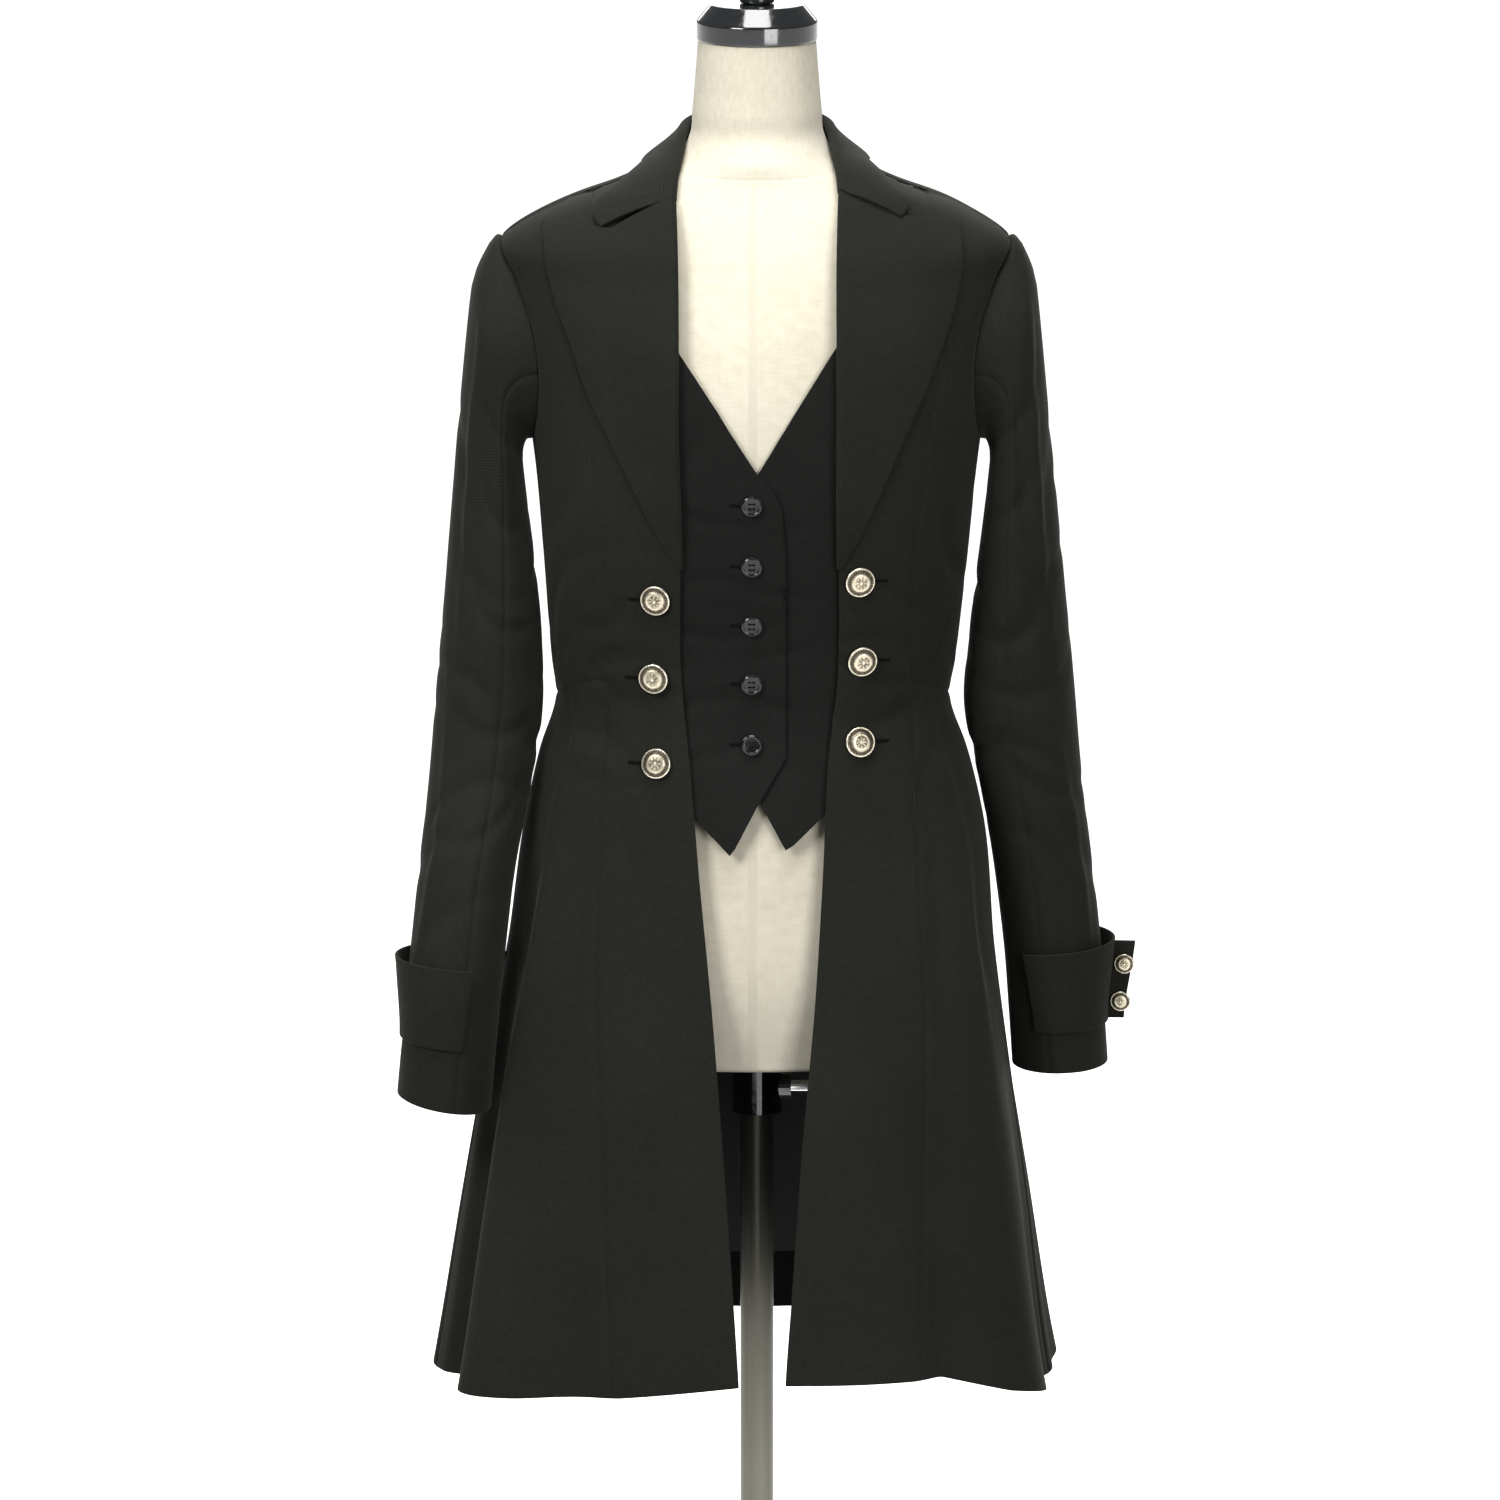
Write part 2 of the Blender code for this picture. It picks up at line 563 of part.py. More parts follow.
def back_skirt(side):
    """Back of the skirt, from the side seam to the centre back seam, under the waist seam."""
    across = side * np.linspace(90.0, 180.0, 15)
    angles, heights = level_rows(lambda height: across, hem_height, waist_height, SKIRT_STEPS, 1.4)
    return panel(f"back_skirt_{side_name(side)}", np.array(angles), np.array(heights), suiting())


def armhole_ring(side, turn):
    """The armhole's edge at angles from its outer top point round the front, just inside it."""
    share = 0.5 + 0.5 * np.cos(turn)
    reach = np.where(np.sin(turn) > 0, ARMHOLE_FRONT * ARMHOLE_FIT, ARMHOLE_BACK * ARMHOLE_BACK_FIT)
    height = ARMHOLE_HEIGHT + (2 * share - 1) * ARMHOLE_HALF * ARMHOLE_FIT
    return coat(side * (90.0 - reach * np.sin(turn)), height)


def sleeve_table(side):
    return SLEEVE_LEFT if side == LEFT else SLEEVE_RIGHT


def sleeve(side):
    """Sleeve surface: oval sections down the arm, with the armhole's own edge for the first."""
    table = sleeve_table(side)
    places = np.arange(len(table)) + 1.0

    def surface(degrees, place):
        turn = np.radians(side * degrees)
        values = [smooth(places, table[:, i], np.maximum(place, 1.0)) for i in range(6)]
        outer_x, outer_z, inner_x, inner_z, middle_y, half_y = values
        x = (outer_x + inner_x) / 2 + (outer_x - inner_x) / 2 * np.cos(turn)
        z = (outer_z + inner_z) / 2 + (outer_z - inner_z) / 2 * np.cos(turn)
        y = middle_y - half_y * np.sin(turn)
        oval = np.stack(np.broadcast_arrays(side * x, y, z), axis=-1)
        share = np.clip(place / CAP_BLEND, 0.0, 1.0) + 0 * turn
        share = (share * share * (3 - 2 * share))[..., None]
        return armhole_ring(side, turn + 0 * place) * (1 - share) + oval * share
    return surface


def sleeve_place(side, height):
    """Place along the sleeve where its middle is at this height."""
    table = sleeve_table(side)
    middle = (table[:, 1] + table[:, 3]) / 2
    return np.interp(-np.asarray(height), -middle, np.arange(len(table)) + 1.0)


def on_sleeve(side, degrees, place, lift):
    """Points of the sleeve moved out by lift. Degrees run from the outer point to the front."""
    surface = sleeve(side)
    around, along = degrees * side, place + 0.0 * degrees
    normals = normals_of(surface, around, np.maximum(along, 0.01), (0.5, 0.01))
    return surface(around, along) + normals * (lift + 0.0 * along)[..., None]


def sleeve_pieces(side):
    length = len(sleeve_table(side))
    place = np.concatenate([np.linspace(0.0, 2.0, 4), np.linspace(2.0, length, 12)[1:]])
    front, back = SLEEVE_SEAMS
    for part, start, end, count in (("upper", back, front, 12), ("under", front, back + 360, 7)):
        angle, along = np.meshgrid(np.linspace(start, end, count), place)
        outer = trimmed(on_sleeve(side, angle, along, 0.0), SEAM_GAP)
        inner = trimmed(on_sleeve(side, angle, along, -CLOTH), SEAM_GAP)
        wall(f"sleeve_{part}_{side_name(side)}", outer, inner, suiting())


def band_lift(share):
    """How far the band's outer face is from the sleeve: more at the top, share 0."""
    return BAND_OFF_BOTTOM + (BAND_OFF_TOP - BAND_OFF_BOTTOM) * (1 - share) ** 1.3


def cuff_band(side):
    """Turned-up band round the front, the outer side and the back of the cuff."""
    share = np.linspace(0.0, 1.0, 4)
    start = BAND_FRONT[side]
    degrees = np.linspace(start, start - BAND_TURN[side], 16)
    angle, down = np.meshgrid(degrees, share)
    place = sleeve_place(side, BAND_TOP[side] + down * (BAND_BOTTOM[side] - BAND_TOP[side]))
    outer = on_sleeve(side, angle, place, band_lift(down))
    inner = on_sleeve(side, angle, place, band_lift(down) - CLOTH)
    return wall(f"cuff_band_{side_name(side)}", outer, inner, suiting())


def tab_direction(side):
    """Level direction in which the tab stands out, square to the sleeve halfway down the band."""
    height = (BAND_TOP[side] + BAND_BOTTOM[side]) / 2
    angle = np.full(1, TAB_ANGLE[side])
    place = sleeve_place(side, np.full(1, height))
    out = on_sleeve(side, angle, place, 0.01)[0] - on_sleeve(side, angle, place, 0.0)[0]
    out[2] = 0.0
    return out / np.linalg.norm(out)


def tab_frame(side, share):
    """A point of the band under the tab, with the tab's outward and sideways directions."""
    out = tab_direction(side)
    height = BAND_TOP[side] + share * (BAND_BOTTOM[side] - BAND_TOP[side])
    angle = np.full(1, TAB_ANGLE[side])
    place = sleeve_place(side, np.full(1, height))
    foot = on_sleeve(side, angle, place, band_lift(share) + ON_CLOTH)[0]
    return foot, out, np.cross((0.0, 0.0, side * 1.0), out)


def cuff_tab(side):
    """The band's pinched end, a flat tab that stands straight out and carries two buttons."""
    outer, inner = np.zeros((2, 5, 3, 3))
    for row, share in enumerate(np.linspace(0.03, 0.97, 5)):
        foot, out, sideways = tab_frame(side, share)
        length = TAB_LENGTH_TOP + share * (TAB_LENGTH_BOTTOM - TAB_LENGTH_TOP)
        for place, reach in enumerate((0.0, 0.5, 1.0)):
            middle = foot + out * length * reach
            outer[row, place] = middle + sideways * TAB_WALL / 2
            inner[row, place] = middle - sideways * TAB_WALL / 2
    return wall(f"cuff_tab_{side_name(side)}", outer, inner, suiting())


def signed_angle(across, height):
    left = angle_of(LEFT, np.maximum(-across, 0.0), height)
    right = angle_of(RIGHT, np.maximum(across, 0.0), height)
    return np.where(across < 0, left, right)


def lapel(side):
    """Peak lapel, from its fold at the front edge to its free edge, with the gorge dip on top."""
    places = np.linspace(0.0, 1.0, 11)
    across, up = np.meshgrid(places, np.linspace(0.0, 1.0, 11))
    fold_height = BREAK + up * (GORGE[side] - BREAK)
    edge_height = BREAK + up * (LAPEL_EDGE[-1, 0] - BREAK)
    dip = np.minimum(across / NOTCH_PLACE, (1 - across) / (1 - NOTCH_PLACE))
    height = fold_height + across * (edge_height - fold_height) - NOTCH_DROP[side] * dip * up ** 6
    fold = front_seam(side, fold_height, 1)
    edge = column(LAPEL_EDGE, edge_height, 1 if side == LEFT else 2)
    angle = angle_of(side, fold + across * (edge - fold), height)
    lift = ON_CLOTH + CLOTH + LAPEL_ROLL * (1 - across) ** 3 + PEAK_LIFT * across * up ** 2
    return panel(f"lapel_{side_name(side)}", angle, height, suiting(), lift=lift)


def collar_values(place):
    """Values of the collar's sections at places from -7, the left notch, to 7, the right one."""
    last = len(COLLAR_SECTIONS) - 1.0
    side = np.where(place < 0, LEFT, RIGHT)
    at = last - np.abs(place)
    rows = np.arange(last + 1)
    values = [smooth(rows, COLLAR_SECTIONS[:, i], at) for i in range(7)]
    skew = COLLAR_SKEW * side * (place / last) ** 2
    fold = np.stack([side * values[0], values[1], values[2] + skew], axis=-1)
    return fold, side * values[3], values[4] + skew, side * values[5], values[6] + skew


def collar_surface(place, up):
    """Up 0 is the free edge, 1 the fold, and past 1 the cloth turns over towards the neck.
    The fall is the coat's own surface moved out, which leaves it smoothly for the fold."""
    fold, seam_angle, seam_height, edge_angle, edge_height = collar_values(place)
    share = np.clip(up, 0.0, 1.0)
    angle = edge_angle + share * (seam_angle - edge_angle)
    height = edge_height + share * (seam_height - edge_height)
    lift = ON_CLOTH + COLLAR_CLOTH + COLLAR_BULGE * np.sin(np.pi * share)
    resting = coat(angle, height) + normals_of(coat, angle, height) * lift[..., None]
    rise = (share ** 2.2)[..., None]
    fall = resting * (1 - rise) + fold * rise
    out = fold * (1.0, 1.0, 0.0)
    out = out / np.linalg.norm(out, axis=-1, keepdims=True)
    face = FOLD_OUT * out + np.array((0.0, 0.0, FOLD_UP))
    climb = -FOLD_UP * out + np.array((0.0, 0.0, FOLD_OUT))
    turn = np.radians(np.clip(up - 1.0, 0.0, None) * FOLD_DEGREES)[..., None]
    return fall + COLLAR_FOLD * (face * (np.cos(turn) - 1) + climb * np.sin(turn))


def collar_fall():
    last = len(COLLAR_SECTIONS) - 1.0
    ups = np.concatenate([np.linspace(0.0, 1.0, 7), (1.12, 1.24, 1.36)])
    place, up = np.meshgrid(np.linspace(-last, last, 25), ups)
    points = collar_surface(place, up)
    normals = normals_of(collar_surface, place, up, (0.05, 0.01))
    return wall("collar_fall", points, points - normals * COLLAR_CLOTH, suiting())


def collar_stand():
    """The stand rises from the neckline and ends under the fold of the fall."""
    reach = len(COLLAR_SECTIONS) - 1.0 - STAND_FROM
    place, up = np.meshgrid(np.linspace(-reach, reach, 21), np.linspace(0.0, 1.0, 3))
    fold, angle, height, _, _ = collar_values(place)
    foot = coat(angle, height) * (STAND_FOOT, STAND_FOOT, 1.0) + (0.0, 0.0, STAND_RISE)
    top = fold * (STAND_TOP, STAND_TOP, 1.0) - (0.0, 0.0, STAND_DROP)
    outer = foot + (top - foot) * up[..., None]
    out = outer * (1.0, 1.0, 0.0)
    out = out / np.linalg.norm(out, axis=-1, keepdims=True)
    return wall("collar_stand", outer, outer - out * CLOTH, suiting())


def vest_lift(side, across):
    """The panel hangs free at the centre and meets the coat's inside where it is sewn in."""
    sewn = CLOTH + SEAM_GAP + ON_CLOTH
    free = np.clip((VEST_SEWN - np.abs(across)) / VEST_FREE, 0.0, 1.0)
    return -(sewn + (VEST_DEPTH[side] - sewn) * free * free * (3 - 2 * free))


def vest_front(side):
    """Waistcoat front: level columns between an upper and a lower edge with their own corners."""
    table = VEST_LEFT if side == LEFT else VEST_RIGHT
    across, share = np.meshgrid(table[:, 0], np.linspace(0.0, 1.0, 11))
    upper = np.interp(across, table[:, 0], table[:, 1])
    lower = np.interp(across, table[:, 0], table[:, 2])
    height = lower + share * (upper - lower)
    return panel(f"vest_front_{side_name(side)}", signed_angle(across, height), height,
                 waistcoating(), VEST_CLOTH, vest_lift(side, across))


def turned(name, profile, finish, segments=24):
    """A body of revolution: the profile's ends lie on the axis, and each becomes one point."""
    turn = np.arange(segments) * 2 * np.pi / segments
    rings = [(r * np.cos(t), r * np.sin(t), z) for r, z in profile[1:-1] for t in turn]
    points = [(0.0, 0.0, profile[0][1]), *rings, (0.0, 0.0, profile[-1][1])]
    count, last = len(profile) - 2, len(points) - 1
    faces = []
    for i in range(segments):
        after = (i + 1) % segments
        faces.append((0, 1 + after, 1 + i))
        for ring in range(count - 1):
            base = 1 + ring * segments
            faces.append((base + i, base + after, base + segments + after, base + segments + i))
        base = 1 + (count - 1) * segments
        faces.append((base + i, base + after, last))
    return add_mesh(name, points, faces, finish)


def button_profile(radius, edge, dome):
    return ((0.0, 0.0), (radius * 0.88, 0.0), (radius, edge * 0.4), (radius, edge * 0.8),
            (radius * 0.90, edge * 1.15), (radius * 0.78, edge), (radius * 0.45, dome * 0.93),
            (0.0, dome))


def seat_facing(thing, foot, normal):
    """Puts the thing's origin just off the foot point, with its +Z along the normal."""
    turn = Vector((0.0, 0.0, 1.0)).rotation_difference(Vector(normal)).to_matrix().to_4x4()
    thing.matrix_world = Matrix.Translation(Vector(foot) + Vector(normal) * SEAT) @ turn
    return thing


def coat_place(across, height, lift=0.0):
    angle = signed_angle(np.full(1, across), np.full(1, height))
    level = np.full(1, height)
    normal = normals_of(coat, angle, level)[0]
    return coat(angle, level)[0] + normal * lift, normal


def buttons():
    for side in (LEFT, RIGHT):
        for number, (across, height, room) in enumerate(METAL_PLACES[side], 1):
            made = turned(f"metal_button_{side_name(side)}_{number}",
                          button_profile(*METAL_BUTTON), silvered(), 16)
            seat_facing(made, *coat_place(side * across, height, room))
        for number, share in enumerate(CUFF_BUTTON_SHARES, 1):
            foot, out, _ = tab_frame(side, share)
            along = tab_frame(side, share + 0.1)[0] - foot
            front = np.cross(out, along) * -np.sign(np.cross(out, along)[1])
            front /= np.linalg.norm(front)
            made = turned(f"cuff_button_{side_name(side)}_{number}",
                          button_profile(*CUFF_BUTTON), silvered(), 12)
            middle = foot + out * (CUFF_BUTTON[0] + ON_CLOTH) + front * (TAB_WALL + SEAT) / 2
            seat_facing(made, middle, front)
    for number, (height, room) in enumerate(VEST_BUTTONS, 1):
        lift = float(vest_lift(LEFT, np.full(1, VEST_BUTTON_SIDE))[0]) + room
        made = turned(f"vest_button_{number}", button_profile(*VEST_BUTTON), black_resin(), 12)
        seat_facing(made, *coat_place(VEST_BUTTON_SIDE, height, lift))


def cutter(name, radius, start, end, axis="Z", segments=32):
    """A guide cylinder between two places on an axis, which a Boolean uses."""
    made = turned(name, ((0.0, start), (radius, start), (radius, end), (0.0, end)),
                  satin_metal(), segments)
    if axis == "X":
        made.data.transform(Matrix.Rotation(np.pi / 2, 4, "Y"))
        made.data.transform(Matrix.Translation((0.0, 0.0, BOSS_HEIGHT)))
    made.hide_render = True
    made.display_type = "WIRE"
    return made


def combine(thing, other, operation):
    change = thing.modifiers.new(other.name, "BOOLEAN")
    change.operation = operation
    change.object = other
    change.solver = "EXACT"
    return thing


def torso():
    """Dress form in level rings. Its shoulders follow the coat's, a little under them."""
    rows = np.concatenate([FORM_RINGS[:5, 0], np.linspace(1.02, 1.31, 9), FORM_RINGS[11:, 0]])
    half, front, back = (column(FORM_RINGS, rows, i) for i in (1, 2, 3))
    coat_half = np.minimum(half_width(LEFT, rows + SHOULDER_DROP),
                           half_width(RIGHT, rows + SHOULDER_DROP))
    under = (rows > SHOULDER_FROM) & (rows + SHOULDER_DROP < COAT_RINGS[-1, 0])
    half = np.where(under, np.minimum(half, coat_half - 0.0003), half)
    turn = np.linspace(0.0, 2 * np.pi, FORM_SIDES + 1)[:-1]
    deep = np.where(np.cos(turn) > 0, front[:, None], back[:, None])
    x = half[:, None] * np.sin(turn)
    y = -deep * np.cos(turn)
    rings = np.stack([x, y, rows[:, None] + 0 * turn], axis=-1)
    bottom, top = (0.0, 0.0, rows[0]), (0.0, 0.0, rows[-1])
    points = [bottom, *rings.reshape(-1, 3), top]
    faces = []
    for i in range(FORM_SIDES):
        after = (i + 1) % FORM_SIDES
        faces.append((0, 1 + after, 1 + i))
        for row in range(len(rows) - 1):
            base = 1 + row * FORM_SIDES
            above = base + FORM_SIDES
            faces.append((base + i, base + after, above + after, above + i))
        base = 1 + (len(rows) - 1) * FORM_SIDES
        faces.append((base + i, base + after, len(points) - 1))
    made = add_mesh("torso", points, faces, linen())
    return combine(made, cutter("bore_guide", BORE_RADIUS, rows[0] - 0.02, BORE_TOP), "DIFFERENCE")


def pole_collar():
    top = FORM_RINGS[0, 0] - SEAT
    made = turned("pole_collar", ((0.0, COLLAR_BOTTOM), (COLLAR_RADIUS, COLLAR_BOTTOM),
                                  (COLLAR_RADIUS, top), (0.0, top)), black_gloss(), 32)
    combine(made, cutter("boss_guide", BOSS_RADIUS, 0.002, BOSS_REACH, "X", 20), "UNION")
    combine(made, cutter("collar_bore_guide", BORE_RADIUS, COLLAR_BOTTOM - 0.01, top + 0.01),
            "DIFFERENCE")
    hole = SCREW_RADIUS + SEAT
    return combine(made, cutter("screw_guide", hole, 0.005, BOSS_REACH + 0.01, "X", 16),
                   "DIFFERENCE")


def clamp_screw():
    """Chrome screw through the boss to the pole, with a cross bar to turn it by."""
    tip = POLE_RADIUS + SEAT
    made = turned("clamp_screw", ((0.0, tip), (SCREW_RADIUS, tip), (SCREW_RADIUS, SCREW_END),
                                  (0.0, SCREW_END)), chrome(), 16)
    made.data.transform(Matrix.Rotation(np.pi / 2, 4, "Y"))
    made.location = (0.0, 0.0, BOSS_HEIGHT)
    bar = turned("bar_guide", ((0.0, -HANDLE_HALF), (0.0025, -HANDLE_HALF), (0.0025, HANDLE_HALF),
                               (0.0, HANDLE_HALF)), chrome(), 12)
    bar.location = (SCREW_END - 0.0045, 0.0, BOSS_HEIGHT)
    bar.hide_render = True
    bar.display_type = "WIRE"
    return combine(made, bar, "UNION")


def stand():
    turned("pole", ((0.0, POLE_FOOT), (POLE_RADIUS, POLE_FOOT), (POLE_RADIUS, POLE_TOP),
                    (0.0, POLE_TOP)), satin_metal(), 32)
    wide = POLE_RADIUS + SEAT
    turned("foot", ((0.0, 0.0), (FOOT_RADIUS - 0.002, 0.0), (FOOT_RADIUS, 0.0015),
                    (FOOT_RADIUS, FOOT_EDGE), (FOOT_RADIUS - 0.004, FOOT_EDGE + 0.0015),
                    (0.030, FOOT_TOP), (SOCKET_RADIUS, FOOT_TOP + 0.006),
                    (SOCKET_RADIUS, SOCKET_TOP), (wide, SOCKET_TOP), (wide, POLE_FOOT - SEAT),
                    (0.0, POLE_FOOT - SEAT)), black_gloss(), 32)


def clear_scene():
    for old in list(bpy.data.objects):
        bpy.data.objects.remove(old)


def build_coat():
    for side in (LEFT, RIGHT):
        coat_front(side)
        side_bodice(side)
        back_bodice(side)
        side_skirt(side)
        back_skirt(side)
        sleeve_pieces(side)
        cuff_band(side)
        cuff_tab(side)
        lapel(side)
        vest_front(side)
    collar_fall()
    collar_stand()
    buttons()


def build_form():
    torso()
    turned("neck_cap", CAP_PROFILE, black_gloss(), 32)
    turned("cap_knob", KNOB_PROFILE, black_gloss(), 16)
    pole_collar()
    clamp_screw()
    stand()


clear_scene()
build_coat()
build_form()
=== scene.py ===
# %% [markdown]
# A fitted black long coat hangs on a limbless dress form with a pole stand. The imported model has
# every piece at its real size and place. Here each piece of cloth gets a finer surface with soft
# creases, and each button, buttonhole and finish gets its detail. The scene is in metres, +Z up,
# and the coat faces -Y. The frame is loaded first, because every new piece moves with its bodies.

# %% Load the frame
import json

import bmesh
import bpy
import numpy as np
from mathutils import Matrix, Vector

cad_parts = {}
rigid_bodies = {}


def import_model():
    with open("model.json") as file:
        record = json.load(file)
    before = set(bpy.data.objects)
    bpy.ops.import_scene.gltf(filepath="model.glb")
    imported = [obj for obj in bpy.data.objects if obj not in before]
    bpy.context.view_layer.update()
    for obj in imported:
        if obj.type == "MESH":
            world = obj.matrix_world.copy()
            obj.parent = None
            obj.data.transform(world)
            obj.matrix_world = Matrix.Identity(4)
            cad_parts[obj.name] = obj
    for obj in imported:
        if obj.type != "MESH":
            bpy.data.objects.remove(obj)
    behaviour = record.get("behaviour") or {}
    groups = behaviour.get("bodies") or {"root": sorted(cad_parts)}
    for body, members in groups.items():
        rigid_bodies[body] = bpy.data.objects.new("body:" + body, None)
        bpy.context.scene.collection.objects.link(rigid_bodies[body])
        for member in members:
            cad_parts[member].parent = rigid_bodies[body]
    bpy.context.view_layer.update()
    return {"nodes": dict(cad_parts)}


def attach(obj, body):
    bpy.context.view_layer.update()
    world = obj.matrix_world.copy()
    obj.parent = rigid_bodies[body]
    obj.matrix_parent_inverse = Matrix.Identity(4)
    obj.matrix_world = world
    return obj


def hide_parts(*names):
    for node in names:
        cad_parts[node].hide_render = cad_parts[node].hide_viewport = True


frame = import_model()
LEFT, RIGHT = -1, 1
SIDES = {LEFT: "left", RIGHT: "right"}

# %% [markdown]
# The whole coat hangs on one soft surface. It is given by level rings, as a tailor takes measures
# at the shoulder, chest, waist and hip: half the width on each side, and the depth in front and
# behind. A smooth curve joins the rings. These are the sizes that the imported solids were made
# with, so a finer surface lies exactly on them.

# %% Rings of the coat and folds of the skirt
CLOTH = 0.0016  # wall of the suiting with its fusing
VEST_CLOTH = 0.0014
SEAT = 0.0003  # what rests on something lies this far from it
# The coat's outer surface, in level rings: half width on each side, depth in front and behind.
COAT_RINGS = np.array([
    # height, left, right, front, back
    (0.430, 0.2410, 0.2280, 0.1700, 0.1740),
    (0.462, 0.2360, 0.2220, 0.1665, 0.1690),
    (0.600, 0.2165, 0.2030, 0.1500, 0.1520),
    (0.700, 0.2010, 0.1885, 0.1370, 0.1390),
    (0.780, 0.1870, 0.1780, 0.1260, 0.1260),
    (0.880, 0.1730, 0.1690, 0.1130, 0.1080),
    (0.930, 0.1620, 0.1570, 0.1070, 0.0960),
    (0.970, 0.1500, 0.1440, 0.1030, 0.0880),
    (1.000, 0.1530, 0.1480, 0.1050, 0.0870),
    (1.080, 0.1590, 0.1570, 0.1160, 0.0930),
    (1.150, 0.1650, 0.1640, 0.1235, 0.1000),
    (1.200, 0.1720, 0.1710, 0.1220, 0.1030),
    (1.250, 0.1800, 0.1780, 0.1130, 0.1030),
    (1.290, 0.1870, 0.1850, 0.0990, 0.0990),
    (1.3167, 0.1890, 0.1870, 0.0890, 0.0940),
    (1.334, 0.1640, 0.1630, 0.0795, 0.0860),
    (1.347, 0.1350, 0.1370, 0.0730, 0.0790),
    (1.356, 0.1090, 0.1110, 0.0690, 0.0735),
    (1.378, 0.0640, 0.0640, 0.0620, 0.0640),
])
SQUARENESS = 0.05  # how far a ring's quarters stand out of an ellipse

# Soft folds of the skirt, on the left side first and then right and back.
SKIRT_FOLDS = np.array([
    # angle, half width in degrees, depth at the hem, height where it starts
    (-54.0, 17.0, 0.020, 0.93),
    (-71.0, 13.0, -0.019, 0.90),
    (-34.0, 10.0, -0.007, 0.80),
    (-96.0, 15.0, 0.008, 0.80),
    (58.0, 18.0, 0.012, 0.93),
    (39.0, 9.0, -0.008, 0.84),
    (82.0, 14.0, -0.010, 0.80),
    (112.0, 15.0, 0.014, 0.92),
    (132.0, 11.0, -0.012, 0.90),
    (152.0, 15.0, 0.016, 0.94),
    (180.0, 12.0, -0.008, 0.88),
    (-128.0, 16.0, 0.015, 0.93),
    (-147.0, 11.0, -0.013, 0.90),
    (-163.0, 13.0, 0.012, 0.90),
])
FOLDS_FULL = 0.455  # height at which a fold has its whole depth

# %% Seams and edges
# Seams seen from the front, as distances from the centre line.
FRONT_SEAMS = np.array([
    # height, front edge left, front edge right, princess seam left, right
    (0.440, 0.0115, 0.0195, 0.1090, 0.1245),
    (0.478, 0.0134, 0.0209, 0.1100, 0.1246),
    (0.550, 0.0180, 0.0261, 0.1134, 0.1255),
    (0.655, 0.0254, 0.0336, 0.1170, 0.1268),
    (0.765, 0.0343, 0.0433, 0.1200, 0.1255),
    (0.850, 0.0425, 0.0485, 0.1187, 0.1205),
    (0.940, 0.0500, 0.0530, 0.1157, 0.1180),
    (1.000, 0.0560, 0.0597, 0.1120, 0.1150),
    (1.085, 0.0567, 0.0605, 0.1160, 0.1160),
    (1.180, 0.0604, 0.0612, 0.1270, 0.1275),
    (1.250, 0.0604, 0.0612, 0.1300, 0.1380),
    (1.300, 0.0608, 0.0612, 0.1290, 0.1360),
    (1.3565, 0.0625, 0.0625, 0.1210, 0.1225),
    (1.378, 0.0632, 0.0632, 0.1150, 0.1150),
])

# The hem, by angle round the body.
HEM = np.array([
    # angle, height
    (-180.0, 0.4640), (-120.0, 0.4600), (-90.0, 0.4555), (-66.0, 0.4600), (-45.0, 0.4620),
    (-25.0, 0.4680), (0.0, 0.4800), (20.0, 0.4790), (38.0, 0.4790), (52.0, 0.4640),
    (70.0, 0.4520), (90.0, 0.4500), (120.0, 0.4580), (180.0, 0.4640),
])

ARMHOLE_HEIGHT = 1.2408  # centre of each armhole
ARMHOLE_HALF = 0.0759
ARMHOLE_FRONT, ARMHOLE_BACK = 27.0, 24.0  # how far it reaches round the body, in degrees
UNDERARM = ARMHOLE_HEIGHT - ARMHOLE_HALF
SHOULDER_POINT = ARMHOLE_HEIGHT + ARMHOLE_HALF
WAIST_FRONT, WAIST_SIDE, WAIST_BACK = 0.9950, 0.9720, 0.9800
NECKLINE = 1.3775
SHOULDER_NECK, PRINCESS_TOP = 0.0640, 0.1210  # where seams meet the shoulder seam

# %% Lapel, collar and sleeves
# The lapel's free edge, from the peak down to the break.
LAPEL_EDGE = np.array([
    # height, left, right
    (1.0850, 0.0585, 0.0625),
    (1.1050, 0.0710, 0.0740),
    (1.1420, 0.0895, 0.0905),
    (1.1770, 0.1067, 0.1060),
    (1.2170, 0.1260, 0.1240),
    (1.2500, 0.1373, 0.1365),
    (1.2760, 0.1470, 0.1450),
    (1.3060, 0.1545, 0.1500),
    (1.3330, 0.1575, 0.1478),
])
BREAK, NOTCH_PLACE = 1.0850, 0.46  # the top edge dips here, between the roll and the peak
GORGE = {LEFT: 1.3517, RIGHT: 1.3582}
NOTCH_DROP = {LEFT: 0.0116, RIGHT: 0.0060}
LAPEL_ROLL = 0.0026  # how far the lapel stands off the front at its fold
PEAK_LIFT = 0.0012  # and at its peak, over the round of the shoulder

